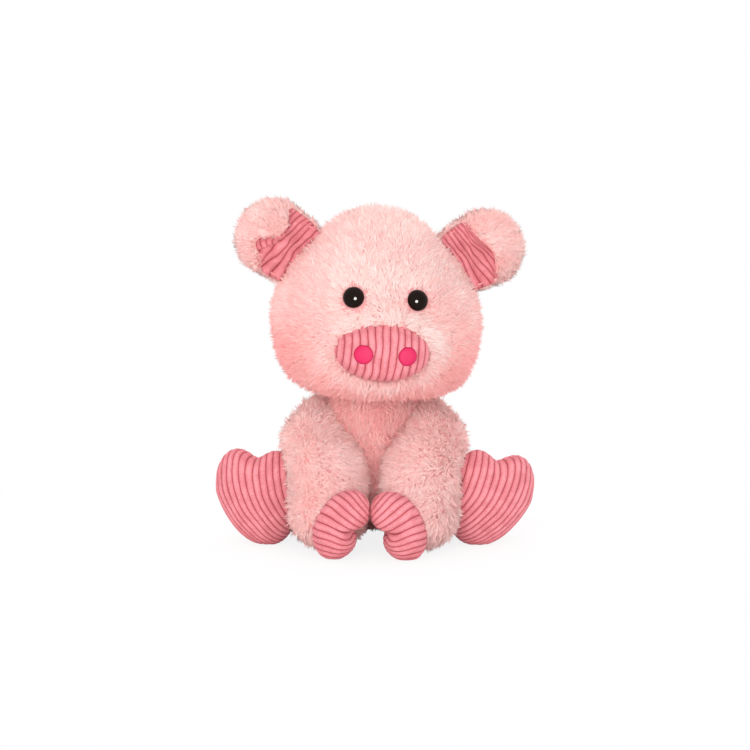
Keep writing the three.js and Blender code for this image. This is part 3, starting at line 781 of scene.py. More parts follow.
# %% Places on the face
SNOUT_HALF_WIDTH, SNOUT_HALF_HEIGHT, SNOUT_REACH, SNOUT_DEPTH, SNOUT_DROP = 33.5, 20.5, 76, 24, 13.5
SNOUT_FULLNESS = 0.62
NOSTRIL_RADIUS, NOSTRIL_SPACING, NOSTRIL_THICKNESS = 7, 31, 1.4
EYE_RADIUS, EYE_HEIGHT, EYE_SPACING, EYE_RISE = 7.6, 6, 44.8, 24


def head_front(x, z):
    """How far forward the face lies in the head's frame, at a place across and up."""
    reach = outline_reach(HEAD_OUTLINE, (z + HEAD_CHEEK_HEIGHT) / HEAD_HEIGHT)
    side = np.maximum(1 - (x / (HEAD_HALF_WIDTH * np.maximum(reach, 1e-6))) ** 2, 0)
    return -HEAD_HALF_DEPTH * reach**HEAD_DEPTH_POWER * np.sqrt(side)


def face_place(x, z, step=0.3):
    """A place on the face and the direction that the face looks in there."""
    slope_x = (head_front(x + step, z) - head_front(x - step, z)) / (2 * step)
    slope_z = (head_front(x, z + step) - head_front(x, z - step)) / (2 * step)
    normal = np.array((float(slope_x), -1.0, float(slope_z)))
    return np.array((x, float(head_front(x, z)), z)), normal / np.linalg.norm(normal)


EYES = {"left": face_place(EYE_SPACING / 2, EYE_RISE), "right": face_place(-EYE_SPACING / 2, EYE_RISE)}
print("eyes in the head's frame", {side: np.round(place, 1).tolist() for side, (place, _) in EYES.items()})

# %% [markdown]
# Two effects are used by more than one finish, so each is a node group: threads crossing in fine
# lines, and a soft mottle like handled cloth. Nodes could be copied into each material, but a group
# is built once and takes its scale from the material that holds it.


# %% Node groups
def new_group(name, inputs, outputs):
    """An empty node group with named inputs and outputs, and its two end nodes."""
    group = bpy.data.node_groups.new(name, "ShaderNodeTree")
    for socket_name, kind, value in inputs:
        socket = group.interface.new_socket(socket_name, in_out="INPUT", socket_type=kind)
        if value is not None:
            socket.default_value = value
    for socket_name, kind in outputs:
        group.interface.new_socket(socket_name, in_out="OUTPUT", socket_type=kind)
    return group, group.nodes.new("NodeGroupInput"), group.nodes.new("NodeGroupOutput")


def math_node(nodes, links, operation, first, second=None):
    """A Math node. Each value is a socket or a plain number."""
    node = nodes.new("ShaderNodeMath")
    node.operation = operation
    for place, value in enumerate((first, second)):
        if value is None:
            continue
        if isinstance(value, (int, float)):
            node.inputs[place].default_value = value
        else:
            links.new(value, node.inputs[place])
    return node.outputs[0]


def thread_group():
    """Fine threads: two wave patterns across each other, one for warp and one for weft."""
    group, start, end = new_group(
        "fine_threads",
        [("Vector", "NodeSocketVector", None), ("Threads", "NodeSocketFloat", 8.0)],
        [("Height", "NodeSocketFloat")],
    )
    nodes, links = group.nodes, group.links
    waves = []
    for direction in ("X", "Y"):
        wave = nodes.new("ShaderNodeTexWave")
        wave.bands_direction = direction
        wave.inputs["Distortion"].default_value = 0.6
        wave.inputs["Detail"].default_value = 1
        links.new(start.outputs["Vector"], wave.inputs["Vector"])
        links.new(start.outputs["Threads"], wave.inputs["Scale"])
        waves.append(wave.outputs["Fac"])
    links.new(math_node(nodes, links, "MULTIPLY", *waves), end.inputs["Height"])
    return group


def mottle_group():
    """Soft patches: coarse and fine noise added, as a mask from 0 to 1."""
    group, start, end = new_group(
        "soft_mottle",
        [
            ("Vector", "NodeSocketVector", None),
            ("Coarse", "NodeSocketFloat", 40.0), ("Fine", "NodeSocketFloat", 400.0),
        ],
        [("Mask", "NodeSocketFloat")],
    )
    nodes, links = group.nodes, group.links
    parts = []
    for name, share in (("Coarse", 0.6), ("Fine", 0.4)):
        noise = nodes.new("ShaderNodeTexNoise")
        noise.inputs["Detail"].default_value = 3
        links.new(start.outputs["Vector"], noise.inputs["Vector"])
        links.new(start.outputs[name], noise.inputs["Scale"])
        parts.append(math_node(nodes, links, "MULTIPLY", noise.outputs["Fac"], share))
    links.new(math_node(nodes, links, "ADD", *parts), end.inputs["Mask"])
    return group


THREADS, MOTTLE = thread_group(), mottle_group()
print("node groups", THREADS.name, MOTTLE.name)

# %% [markdown]
# Every finish below is one shader with a few nodes before it: a colour from a ramp, two colours
# multiplied, and a bump. Each could be wired by hand in the editor. Written as helpers they are wired
# the same way every time, and a finish then reads as a short list.


# %% Helpers for finishes
def place_group(nodes, links, group, **values):
    """A node group set in a material. Each value is a socket or a plain number."""
    node = nodes.new("ShaderNodeGroup")
    node.node_tree = group
    for name, value in values.items():
        if isinstance(value, (int, float)):
            node.inputs[name].default_value = value
        else:
            links.new(value, node.inputs[name])
    return node.outputs[0]


def colour_ramp(nodes, links, value, stops):
    """A colour that goes smoothly from stop to stop as the value rises."""
    ramp = nodes.new("ShaderNodeValToRGB")
    ramp.color_ramp.interpolation = "EASE"
    elements = ramp.color_ramp.elements
    while len(elements) < len(stops):
        elements.new(0.5)
    for element, (place, colour) in zip(elements, stops):
        element.position, element.color = place, (*colour, 1)
    links.new(value, ramp.inputs[0])
    return ramp.outputs["Color"]


def mixed_colour(nodes, links, amount, first, second):
    """The first colour multiplied by the second, as far as the amount says."""
    mix = nodes.new("ShaderNodeMix")
    mix.data_type, mix.blend_type = "RGBA", "MULTIPLY"
    colours = [s for s in mix.inputs if s.type == "RGBA"]
    factor = [s for s in mix.inputs if s.type == "VALUE"][0]
    factor.default_value = amount
    links.new(first, colours[0])
    links.new(second, colours[1])
    return [s for s in mix.outputs if s.type == "RGBA"][0]


def new_material(name, roughness, sheen=0.0, sheen_tint=(1, 1, 1)):
    """A material, its nodes and links, and its shader with the given roughness and sheen."""
    material = bpy.data.materials.new(name)
    material.use_nodes = True
    nodes, links = material.node_tree.nodes, material.node_tree.links
    shader = nodes["Principled BSDF"]
    shader.inputs["Roughness"].default_value = roughness
    shader.inputs["Sheen Weight"].default_value = sheen
    shader.inputs["Sheen Roughness"].default_value = 0.5
    shader.inputs["Sheen Tint"].default_value = (*sheen_tint, 1)
    return material, nodes, links, shader


def written(code):
    """A colour written as six hex digits, as the light values that Blender works in."""
    parts = [int(code[i:i + 2], 16) / 255 for i in (0, 2, 4)]
    return tuple(c / 12.92 if c <= 0.04045 else ((c + 0.055) / 1.055) ** 2.4 for c in parts)


def object_place(nodes):
    """Each point's place in its piece, in metres."""
    return nodes.new("ShaderNodeTexCoord").outputs["Object"]


def own_map(nodes, name):
    """The piece's own map of that name."""
    node = nodes.new("ShaderNodeUVMap")
    node.uv_map = name
    return node.outputs["UV"]


def add_bump(nodes, links, shader, height, strength, distance):
    """Fine relief in the shading: the height, in distance metres at 1, tilts the shader's normal."""
    bump = nodes.new("ShaderNodeBump")
    bump.inputs["Strength"].default_value = strength
    bump.inputs["Distance"].default_value = distance
    links.new(height, bump.inputs["Height"])
    links.new(bump.outputs[0], shader.inputs["Normal"])


print("the colour f79ea0 in light values", np.round(written("f79ea0"), 3))

# %% [markdown]
# Plush pile is dyed one pink, but it looks deeper where it is thick and paler at the tips that catch the
# light. The strands throw no shadow, so that is painted: each strand carries its own map, one direction is
# how pale that strand is, and the other runs from root to tip, along which a painted shade deepens the root.
# Gloss is left off, because thousands of tiny glints would turn the fur grey.
# The cloth under the pile is a plain pink knit, a little deeper than the pile, so that the gaps between the
# strands also show a painted shade.


# %% Plush and backing finishes
def plush_material():
    """colour = tone * along: the strand's pink from its map, partly painted light, times a painted shade that
    deepens it from the tip to the root.
    """
    material, nodes, links, shader = new_material("plush_pile", 0.95)
    shader.inputs["Specular IOR Level"].default_value = 0
    split = nodes.new("ShaderNodeSeparateXYZ")
    links.new(own_map(nodes, "OFBake"), split.inputs[0])
    tone = colour_ramp(nodes, links, split.outputs["X"], [
        (0.0, written("f79ea0")), (0.35, written("fcb6b3")),
        (0.65, written("fecfca")), (1.0, written("ffe8e3")),
    ])
    # along: painted shade, deeper at the root, for the shade inside the pile that the shadowless strands
    # don't throw.
    along = colour_ramp(nodes, links, split.outputs["Y"], [
        (0.0, (0.97, 0.79, 0.8)), (0.5, (0.99, 0.94, 0.94)), (1.0, (1, 1, 1)),
    ])
    links.new(mixed_colour(nodes, links, 1.0, tone, along), shader.inputs["Base Color"])
    return material


def backing_material():
    """The knit under the pile: a mottled pink, its own colour a little deeper than the pile as painted shade
    in the gaps between strands, with threads as a fine bump.
    """
    material, nodes, links, shader = new_material("plush_backing", 0.95)
    shader.inputs["Specular IOR Level"].default_value = 0.05
    place = object_place(nodes)
    mask = place_group(nodes, links, MOTTLE, Vector=place, Coarse=90.0, Fine=900.0)
    colour = colour_ramp(nodes, links, mask, [(0.3, written("f1a2a3")), (0.7, written("f7b4b3"))])
    links.new(colour, shader.inputs["Base Color"])
    height = place_group(nodes, links, THREADS, Vector=place, Threads=260.0)
    add_bump(nodes, links, shader, height, 0.3, 0.0004)
    return material


PLUSH, BACKING = plush_material(), backing_material()
print("finishes", PLUSH.name, BACKING.name)

# %% [markdown]
# The corduroy is a deeper rose. Its grooves are coloured darker: partly the ground weave that shows there,
# partly painted shade, because little light gets in. The pile is streaked by fine threads across each rib. A
# photograph of cloth could be wrapped on, but colour counted in ribs follows the modelled ribs exactly.


# %% Corduroy finish
def corduroy_material():
    """colour = ribs * tone * streak: a colour that deepens from a rib's middle to its groove, partly painted
    shade, worn patches, and threads across the ribs."""
    material, nodes, links, shader = new_material("rose_corduroy", 0.85, 0.12, (1, 0.78, 0.8))
    shader.inputs["Specular IOR Level"].default_value = 0.1
    place = own_map(nodes, "cloth")
    split = nodes.new("ShaderNodeSeparateXYZ")
    links.new(place, split.inputs[0])
    share = math_node(nodes, links, "FRACT", split.outputs["X"])
    middle = math_node(nodes, links, "ABSOLUTE", math_node(nodes, links, "SUBTRACT", share, 0.5))
    # The groove's dark stops are partly the ground weave and partly painted shade.
    ribs = colour_ramp(nodes, links, middle, [
        (0.0, written("ec989f")), (0.34, written("e48a91")),
        (0.44, written("c9636c")), (0.5, written("9c404b")),
    ])
    patches = place_group(nodes, links, MOTTLE, Vector=object_place(nodes), Coarse=100.0, Fine=800.0)
    tone = colour_ramp(nodes, links, patches, [(0.4, (0.86, 0.74, 0.76)), (0.6, (1, 1, 1))])
    threads = place_group(nodes, links, THREADS, Vector=place, Threads=1.7)
    streak = colour_ramp(nodes, links, threads, [(0.0, (0.9, 0.85, 0.86)), (1.0, (1, 1, 1))])
    colour = mixed_colour(nodes, links, 1.0, ribs, tone)
    colour = mixed_colour(nodes, links, 0.7, colour, streak)
    links.new(colour, shader.inputs["Base Color"])
    add_bump(nodes, links, shader, threads, 0.35, 0.0003)
    return material


CORDUROY = corduroy_material()
print("finish", CORDUROY.name)

# %% [markdown]
# The eyes are near-black glossy plastic, with a faint mottle as moulding leaves. The nostrils are stitched in
# a bright satin thread, with a painted shade round the rim, where the stitches go down into the cloth.
# The washers inside the head are plain milky plastic. Each has its own small material.


# %% Plastic and satin finishes
def eye_material():
    """Near-black brown, and a roughness of 0.04 to 0.1 by the same mottle."""
    material, nodes, links, shader = new_material("eye_gloss", 0.08)
    shader.inputs["IOR"].default_value = 1.2
    mask = place_group(nodes, links, MOTTLE, Vector=object_place(nodes), Coarse=60.0, Fine=300.0)
    colour = colour_ramp(nodes, links, mask, [(0.2, written("0d0604")), (0.8, written("1e110b"))])
    links.new(colour, shader.inputs["Base Color"])
    rough = nodes.new("ShaderNodeMapRange")
    rough.inputs["To Min"].default_value, rough.inputs["To Max"].default_value = 0.04, 0.1
    links.new(mask, rough.inputs["Value"])
    links.new(rough.outputs[0], shader.inputs["Roughness"])
    return material


def satin_material():
    """colour = threads * rim, where rim is a painted shade that falls off from 0.8 of the nostril's radius
    outwards.
    """
    material, nodes, links, shader = new_material("satin_stitch", 0.5, 0.05, (1, 0.5, 0.7))
    shader.inputs["Specular IOR Level"].default_value = 0.08
    place = own_map(nodes, "cloth")
    threads = place_group(nodes, links, THREADS, Vector=place, Threads=0.55)
    colour = colour_ramp(nodes, links, threads, [(0.0, written("cc2254")), (0.6, written("e8336a"))])
    far = nodes.new("ShaderNodeVectorMath")
    far.operation = "LENGTH"
    links.new(place, far.inputs[0])
    share = math_node(nodes, links, "DIVIDE", far.outputs["Value"], float(NOSTRIL_RADIUS))
    # rim: painted shade round the disc's edge, where it meets the snout.
    rim = colour_ramp(nodes, links, share, [(0.8, (1, 1, 1)), (0.97, (0.62, 0.45, 0.5))])
    links.new(mixed_colour(nodes, links, 1.0, colour, rim), shader.inputs["Base Color"])
    add_bump(nodes, links, shader, threads, 0.5, 0.0003)
    return material


def washer_material():
    """Milky white with a faint mottle."""
    material, nodes, links, shader = new_material("washer_plastic", 0.45)
    mask = place_group(nodes, links, MOTTLE, Vector=object_place(nodes), Coarse=200.0, Fine=1200.0)
    colour = colour_ramp(nodes, links, mask, [(0.3, written("e9e6df")), (0.7, written("f4f2ec"))])
    links.new(colour, shader.inputs["Base Color"])
    return material


EYE_GLOSS, SATIN, WASHER = eye_material(), satin_material(), washer_material()
print("finishes", EYE_GLOSS.name, SATIN.name, WASHER.name)

# %% [markdown]
# The pile is made of real strands, because its fuzzy outline and its tufts are what makes the pig look
# soft. Blender's own hair could grow it, but a hair system isn't a surface that another tool can
# read, so each strand is a small mesh. Strands gather in tufts, and each tuft has a centre, a tone
# and a way to lean that its strands share.

# %% Tufts
TUFT_SPACING, TUFT_PULL = 3.0, 0.45


def nearest_tuft(points, spacing, seed):
    """The nearest of a set of scattered centres, one at a random place in each cell of the lattice."""
    cell = np.floor(points / spacing)
    best = np.full(points.shape[:-1], np.inf)
    centre = np.zeros_like(points)
    tone = np.zeros(points.shape[:-1])
    for i in (-1, 0, 1):
        for j in (-1, 0, 1):
            for k in (-1, 0, 1):
                other = cell + np.array((i, j, k))
                jitter = np.stack([corner_value(other, seed + a) for a in range(3)], axis=-1)
                place = (other + jitter) * spacing
                away = np.sum((place - points) ** 2, axis=-1)
                closer = away < best
                best = np.where(closer, away, best)
                centre = np.where(closer[..., None], place, centre)
                tone = np.where(closer, corner_value(other, seed + 7), tone)
    return centre, tone


middle_tuft = nearest_tuft(np.zeros((1, 3)), TUFT_SPACING, 11)[0][0]
print("the tuft nearest to the frame's middle is at", np.round(middle_tuft, 1))

# %% [markdown]
# The roots have to be spread evenly, though a grid's cells are small at its poles and large at its
# middle. So cells are drawn by chance, each by its share of the area, and then a place in the cell.


# %% Roots
def pick_roots(grid, count, keep, seed):
    """Roots spread evenly by area: cells are drawn by their share of the area, and each root takes a
    random place in its cell. keep is how much of the pile grows at each place, from 0 to 1."""
    rng = np.random.default_rng(seed)
    closed = np.concatenate([grid, grid[:, :1]], axis=1)
    normals = outward(grid)
    closed_normals = np.concatenate([normals, normals[:, :1]], axis=1)
    a, b = closed[:-1, :-1], closed[:-1, 1:]
    c, d = closed[1:, 1:], closed[1:, :-1]
    area = np.linalg.norm(np.cross(c - a, d - b), axis=-1) / 2
    share = keep((a + b + c + d) / 4)
    weight = (area * share).ravel()
    total = weight.sum()
    cells = rng.choice(weight.size, size=count, p=weight / total)
    row, column = np.divmod(cells, area.shape[1])
    u, v = rng.random((count, 1)), rng.random((count, 1))

    def spread(values):
        """The four corners' values mixed by u and v."""
        return (
            values[row, column] * (1 - u) * (1 - v) + values[row, column + 1] * u * (1 - v)
            + values[row + 1, column] * (1 - u) * v + values[row + 1, column + 1] * u * v
        )

    return spread(closed), unit(spread(closed_normals)), total, rng


test_grid = head_surface(*pole_grid(20, 20))
test_roots = pick_roots(test_grid, 5, lambda points: np.ones(points.shape[:-1]), 1)[0]
print("five roots drawn on the head are at heights", np.round(test_roots[:, 2]))

# %% [markdown]
# A strand is a bent spindle of six triangles: a root, a middle with three corners and a tip. Real hair
# lets light through, so a strand shaded by its own faces alone would look hard and dark. Each corner
# is shaded as facing the way of its tuft plus a little less than as much of the strand's own side.

# %% One strand
STRAND_LENGTH, STRAND_HALF_WIDTH, STRAND_FLOOR = 7.6, 0.42, 0.15
THINNEST_SHARE, WIDTH_SPREAD, TWIST = 0.7, 0.6, 0.3
MIDDLE_RISE, MIDDLE_WAY, ROOT_DEPTH = 0.62, 0.36, 0.6
OWN_SHADING = 0.85
STRAND_TRIANGLES = np.array([(0, 2, 1), (0, 3, 2), (0, 1, 3), (1, 2, 4), (2, 3, 4), (3, 1, 4)])
STRAND_HEIGHTS = np.array([0.02, 0.5, 0.5, 0.5, 0.98])


def flat_part(vectors, normals):
    """What is left of the vectors across the surface, without their part along the normals."""
    return vectors - normals * np.sum(vectors * normals, axis=-1, keepdims=True)


def strand_mesh(name, roots, normals, facing, tips, tones, rng):
    """Spindles of a root point, a middle triangle and a tip. The middle has risen by more than half of
    the strand's height and gone less of its way across, so the strand bends over towards its tip."""
    count = len(roots)
    way = tips - roots
    rise = np.sum(way * normals, axis=-1, keepdims=True) * normals
    middle = roots + MIDDLE_RISE * rise + MIDDLE_WAY * (way - rise)
    side = unit(np.cross(normals, unit(way) + TWIST * rng.normal(size=roots.shape)))
    other = np.cross(normals, side)
    half = STRAND_HALF_WIDTH * (THINNEST_SHARE + WIDTH_SPREAD * rng.random((count, 1)))
    spin = rng.random(count) * 2 * np.pi
    turns = [(spin + corner * 2 * np.pi / 3)[:, None] for corner in range(3)]
    sides = [side * np.cos(turn) + other * np.sin(turn) for turn in turns]
    points = np.stack([roots - normals * ROOT_DEPTH, *(middle + half * out for out in sides), tips], axis=1)
    points[..., 2] = np.maximum(points[..., 2], STRAND_FLOOR)
    lower, upper = [], []
    for i, j in ((0, 1), (1, 2), (2, 0)):
        between = unit(sides[i] + sides[j])
        lower += [between, sides[j], sides[i]]
        upper += [sides[i], sides[j], between]
    shaded = unit(facing[:, None, :] + OWN_SHADING * np.stack(lower + upper, axis=1))
    local = STRAND_TRIANGLES.ravel()
    corners = ((np.arange(count) * points.shape[1])[:, None] + local).ravel()
    sizes = np.full(count * len(STRAND_TRIANGLES), 3)
    pairs = np.stack([
        np.repeat(tones[:, None], len(local), axis=1),
        np.repeat(STRAND_HEIGHTS[local][None, :], count, axis=0),
    ], axis=-1).reshape(-1, 2)
    return mesh_from_arrays(
        name, points.reshape(-1, 3), corners, sizes, {"OFBake": pairs}, shaded.reshape(-1, 3)
    )


print("a strand is about", STRAND_LENGTH, "mm long and", 2 * STRAND_HALF_WIDTH, "mm thick")

# %% [markdown]
# The pile lies mostly one way, as the cloth was brushed, with swirls from handling, and a few strands
# stand up. The strands throw no shadow, because shadows between hard little spindles would look like
# dirt. The cloth under them throws the pig's shadow.

# %% The whole pile
LEAN_COMB, LEAN_SWIRL, LEAN_OWN, SWIRL_SPACING = 0.8, 0.5, 0.3, 13.0
LYING_RISE, TUFT_RISE, STANDING_RISE, HIGHEST_RISE = 0.34, 0.14, 0.5, 0.97
SHORTEST_SHARE, LENGTH_SPREAD, STRAY = 0.75, 0.4, 0.24
TUFT_TONE, STRAND_TONE, FACING_LEAN, FACING_OWN = 0.1, 0.07, 0.1, 0.12


def grow_pile(
    name, body, grid, count, keep, comb, paleness, seed, length=STRAND_LENGTH, standing=LYING_RISE
):
    """Strands over a surface. comb gives the way that the whole pile leans at each place, paleness how
    light the pile is there, from 0 to 1, and length its length, as one number or for each place. A
    strand's tip is at root + length * (rise * outward + (1 - rise^2)^(1/2) * lean), where rise is
    mostly near standing, and near 1 for the few that stand up."""
    roots, normals, area, rng = pick_roots(grid, count, keep, seed)
    centre, tone = nearest_tuft(roots, TUFT_SPACING, seed)
    swirl = smooth_random_vector(centre, SWIRL_SPACING, seed + 20)
    own = np.stack([corner_value(np.round(centre * 50), seed + 40 + i) for i in range(3)], axis=-1) * 2 - 1
    lean = flat_part(LEAN_COMB * comb(roots) + LEAN_SWIRL * swirl + LEAN_OWN * own, normals)
    longest = length(roots) if callable(length) else length
    lengths = longest * (SHORTEST_SHARE + LENGTH_SPREAD * rng.random(count))
    rise = standing + TUFT_RISE * tone + STANDING_RISE * rng.random(count) ** 6
    rise = np.minimum(rise, HIGHEST_RISE)[:, None]
    across = unit(lean) * np.minimum(np.linalg.norm(lean, axis=-1, keepdims=True), 1)
    across = across + STRAY * flat_part(rng.normal(size=roots.shape), normals)
    tips = roots + lengths[:, None] * (rise * normals + np.sqrt(1 - rise**2) * across)
    tips += flat_part(centre - roots, normals) * TUFT_PULL
    tones = paleness(roots) + TUFT_TONE * (2 * tone - 1) + STRAND_TONE * rng.normal(size=count)
    tones = np.clip(tones, 0.01, 0.99)
    facing = unit(normals + FACING_LEAN * unit(lean) + FACING_OWN * own)
    mesh = strand_mesh(name, roots, normals, facing, tips, tones, rng)
    fur = add_object(name, mesh, PLUSH, body)
    fur.visible_shadow = False
    print(name, count, "strands on", round(area), "square mm,", round(count / area, 2), "a square mm")


# %% [markdown]
# On the head no pile grows under the snout and the eyes. It lies away from the snout, is trimmed short round
# the eyes, and is palest on the brow, partly by painted light. These could be painted by hand as maps. Here
# each is a formula of the place, so that it follows when a size of the head changes.


# %% Where the head's pile grows
SNOUT_BARE_SHARE, NECK_BARE = 0.86, 1.5


def off_the_snout(points):
    """1 outside the snout's outline on the face, and 0 under it."""
    local = to_head(points)
    oval = (local[..., 0] / SNOUT_HALF_WIDTH) ** 2 + ((local[..., 2] + SNOUT_DROP) / SNOUT_HALF_HEIGHT) ** 2
    return np.where((oval < SNOUT_BARE_SHARE) & (local[..., 1] < 0), 0.0, 1.0)


def off_the_eyes(points):
    """1 outside the eyes' domes, and 0 under them."""
    local = to_head(points)
    share = np.ones(points.shape[:-1])
    for place, _ in EYES.values():
        share = np.where(np.linalg.norm(local - place, axis=-1) < EYE_RADIUS + GAP, 0.0, share)
    return share


def head_keep(points):
    """1 where the head's pile grows: above the neck, outside the snout and outside the eyes."""
    above = np.where(points[..., 2] > NECK_HEIGHT + NECK_BARE, 1.0, 0.0)
    return above * off_the_snout(points) * off_the_eyes(points)


bare = 1 - head_keep(test_grid).mean()
print("bare share of the head's grid, with its neck", round(bare, 2))

# %% [markdown]
# Fur on a face is brushed away from the nose and parted round the eyes, and it is trimmed there so
# that the eyes show whole. Both follow from how near a place is to an eye.

# %% How the head's pile lies
PARTING_REACH, PARTING_PULL, COMB_LOST_AT_EYES, COMB_SAG = 5.0, 2.0, 0.6, 0.15
TRIM_REACH, TRIM_AT_EYES = 4.0, 0.5
DOWN_COMB = np.array((0, 0, -0.8))


def nearness_to_eyes(points, spread):
    """1 at an eye's rim, falling to 0 away from it, and the direction away from that eye."""
    local = to_head(points)
    near, away = np.zeros(points.shape[:-1]), np.zeros(points.shape)
    for place, _ in EYES.values():
        far = np.linalg.norm(local - place, axis=-1)
        here = np.exp(-((np.maximum(far - EYE_RADIUS, 0) / spread) ** 2))
        near = near + here
        away = away + here[..., None] * unit(local - place)
    return near, away @ HEAD_AXES.T


def head_comb(points):
    """Away from the snout over the face, parted round the eyes, and down the back."""
    nose = from_head(np.array((0.0, -SNOUT_REACH, -SNOUT_DROP)))
    near, away = nearness_to_eyes(points, PARTING_REACH)
    comb = unit(points - nose) + np.array((0, 0, -COMB_SAG))
    return comb * (1 - COMB_LOST_AT_EYES * np.minimum(near, 1))[..., None] + PARTING_PULL * away


def head_length(points):
    """The pile is trimmed short round the eyes."""
    near, _ = nearness_to_eyes(points, TRIM_REACH)
    return STRAND_LENGTH * (1 - TRIM_AT_EYES * np.minimum(near, 1))


def down_comb(points):
    """Straight down, everywhere."""
    return np.zeros(points.shape) + DOWN_COMB


test_length = head_length(test_grid)
print("the head's pile is from", round(test_length.min(), 1), "to", round(test_length.max(), 1), "mm long")

# %% [markdown]
# The pile is one pink, but its look changes over the pig: deeper where it lies in the shade, paler where it
# faces the light. Lamps alone didn't bring that out, so each piece says how pale its strands are. That is
# partly the pile's own tone and partly painted light and shade.


# %% How pale the pile is, with painted light and shade
# The paler brow and middle of the face and the pale limbs are painted light. The deeper cheeks, chin and
# belly are painted shade.
CHIN_DROP, CHIN_TO_BROW, CHEEK_PLACE = 45, 75, 65
CHIN_SHADED_PALENESS, BROW_LIT_PALER, MIDDLE_LIT_PALER, CHEEK_SHADED_DEEPER, HEAD_MOTTLE = 0.35, 0.4, 0.08, 0.12, 0.12
RING_PLACE, RING_SPREAD, RING_PALER = 1.1, 0.25, 0.25
LIMB_LIT_PALENESS, LIMB_MOTTLE, EAR_PALENESS, EAR_MOTTLE = 0.66, 0.09, 0.68, 0.14
BELLY_SHADED_PALENESS, BELLY_MOTTLE = 0.45, 0.08


def head_paleness_with_painted_light(points):
    """The brow and a ring round the snout are palest, and the cheeks and the chin have the deepest pink. That
    is partly the pile's own tone, and partly painted light on the brow and the middle of the face and painted
    shade on the cheeks and the chin: chin + brow * up^2 * (3 - 2 * up) + middle * (1 - side) - cheek *
    side^2, mottled, plus the ring."""
    local = to_head(points)
    up = np.clip((local[..., 2] + CHIN_DROP) / CHIN_TO_BROW, 0, 1)
    side = np.clip(np.abs(local[..., 0]) / CHEEK_PLACE, 0, 1)
    brow = up * up * (3 - 2 * up)
    oval = np.hypot(local[..., 0] / SNOUT_HALF_WIDTH, (local[..., 2] + SNOUT_DROP) / SNOUT_HALF_HEIGHT)
    ring = np.exp(-(((oval - RING_PLACE) / RING_SPREAD) ** 2)) * (local[..., 1] < 0)
    plain = CHIN_SHADED_PALENESS + BROW_LIT_PALER * brow + MIDDLE_LIT_PALER * (1 - side) - CHEEK_SHADED_DEEPER * side**2
    return plain + HEAD_MOTTLE * smooth_random(points, 22, 3) + RING_PALER * ring


def limb_lit_paleness(points):
    """Nearly even and pale: painted light, because the limbs reach out into the light."""
    return LIMB_LIT_PALENESS + LIMB_MOTTLE * smooth_random(points, 25, 4)


def ear_paleness(points):
    """A little paler and blotchier than the limbs."""
    return EAR_PALENESS + EAR_MOTTLE * smooth_random(points, 9, 5)


def belly_shaded_paleness(points):
    """The belly lies in the shade of the head and between the arms, so its pile is given a deeper pink:
    painted shade.
    """
    return BELLY_SHADED_PALENESS + BELLY_MOTTLE * smooth_random(points, 25, 6)


print("the head's paleness averages", round(head_paleness_with_painted_light(test_grid).mean(), 2))

# %% [markdown]
# Head and torso are now made: a pink backing cloth each, with the pile growing out of it. One pile
# over the whole head would have more triangles than one piece may have, so the head's pile is three
# pieces, front, sides and back, and the torso's is two.


# %% Head and torso
FACE_DEPTH, BACK_DEPTH = -22, 20
SEAT_BARE, COLLAR_BARE = 1.2, 1


def add_head():
    """The head's cloth, and its pile in three parts, each with its own strands and seed."""
    grid = head_surface(*pole_grid(110, 150))
    head = add_closed_piece("head_plush", grid, BACKING, "head", ("head_skin", "head_stuffing"))
    for name, count, seed, first, last in (
        ("head_pile_face", 33000, 11, -np.inf, FACE_DEPTH),
        ("head_pile_sides", 33000, 12, FACE_DEPTH, BACK_DEPTH),
        ("head_pile_back", 28000, 13, BACK_DEPTH, np.inf),
    ):
        def keep(points, first=first, last=last):
            """The part of the head from first to last in depth."""
            depth = to_head(points)[..., 1]
            return head_keep(points) * ((depth >= first) & (depth < last))

        grow_pile(name, "head", grid, count, keep, head_comb, head_paleness_with_painted_light, seed, length=head_length)


def add_torso():
    """The torso's cloth, and its pile in front of and behind its middle."""
    grid = torso_surface(*pole_grid(90, 120))
    torso = add_closed_piece("torso_plush", grid, BACKING, "torso", ("torso_skin", "torso_stuffing"))
    for name, count, seed, front in (
        ("torso_pile_front", 20000, 21, True),
        ("torso_pile_back", 23000, 22, False),
    ):
        def keep(points, front=front):
            """One half of the torso, off the floor and below the neck."""
            z = points[..., 2]
            share = np.where((z > SEAT_BARE) & (z < NECK_HEIGHT - COLLAR_BARE), 1.0, 0.0)
            return share * np.where((points[..., 1] < torso_middle_y(z)) == front, 1.0, 0.0)

        grow_pile(name, "torso", grid, count, keep, down_comb, belly_shaded_paleness, seed)


add_head()
add_torso()

# %% [markdown]
# The stuffed form of an arm or a leg is worked out for the left and mirrored for the right. A mirror
# modifier would copy the fur too, and a toy's two sides are never copies: so the pile is grown afresh
# on each side, and each hoof has its own place, turn and bend.


# %% Arms and legs
SOLE_BARE, HOOF_BARE = 1.0, 0.8
LIMB_SAG, ARM_INWARDS = 0.6, 0.65


def mirrored(grid):
    """The grid for the other side, run round the other way so that its faces still point outwards."""
    other = grid[:, ::-1].copy()
    other[..., 0] *= -1
    return other


def on_side(side, grid):
    """The left grid as it is, or mirrored for the right."""
    return grid if side == "left" else mirrored(grid)


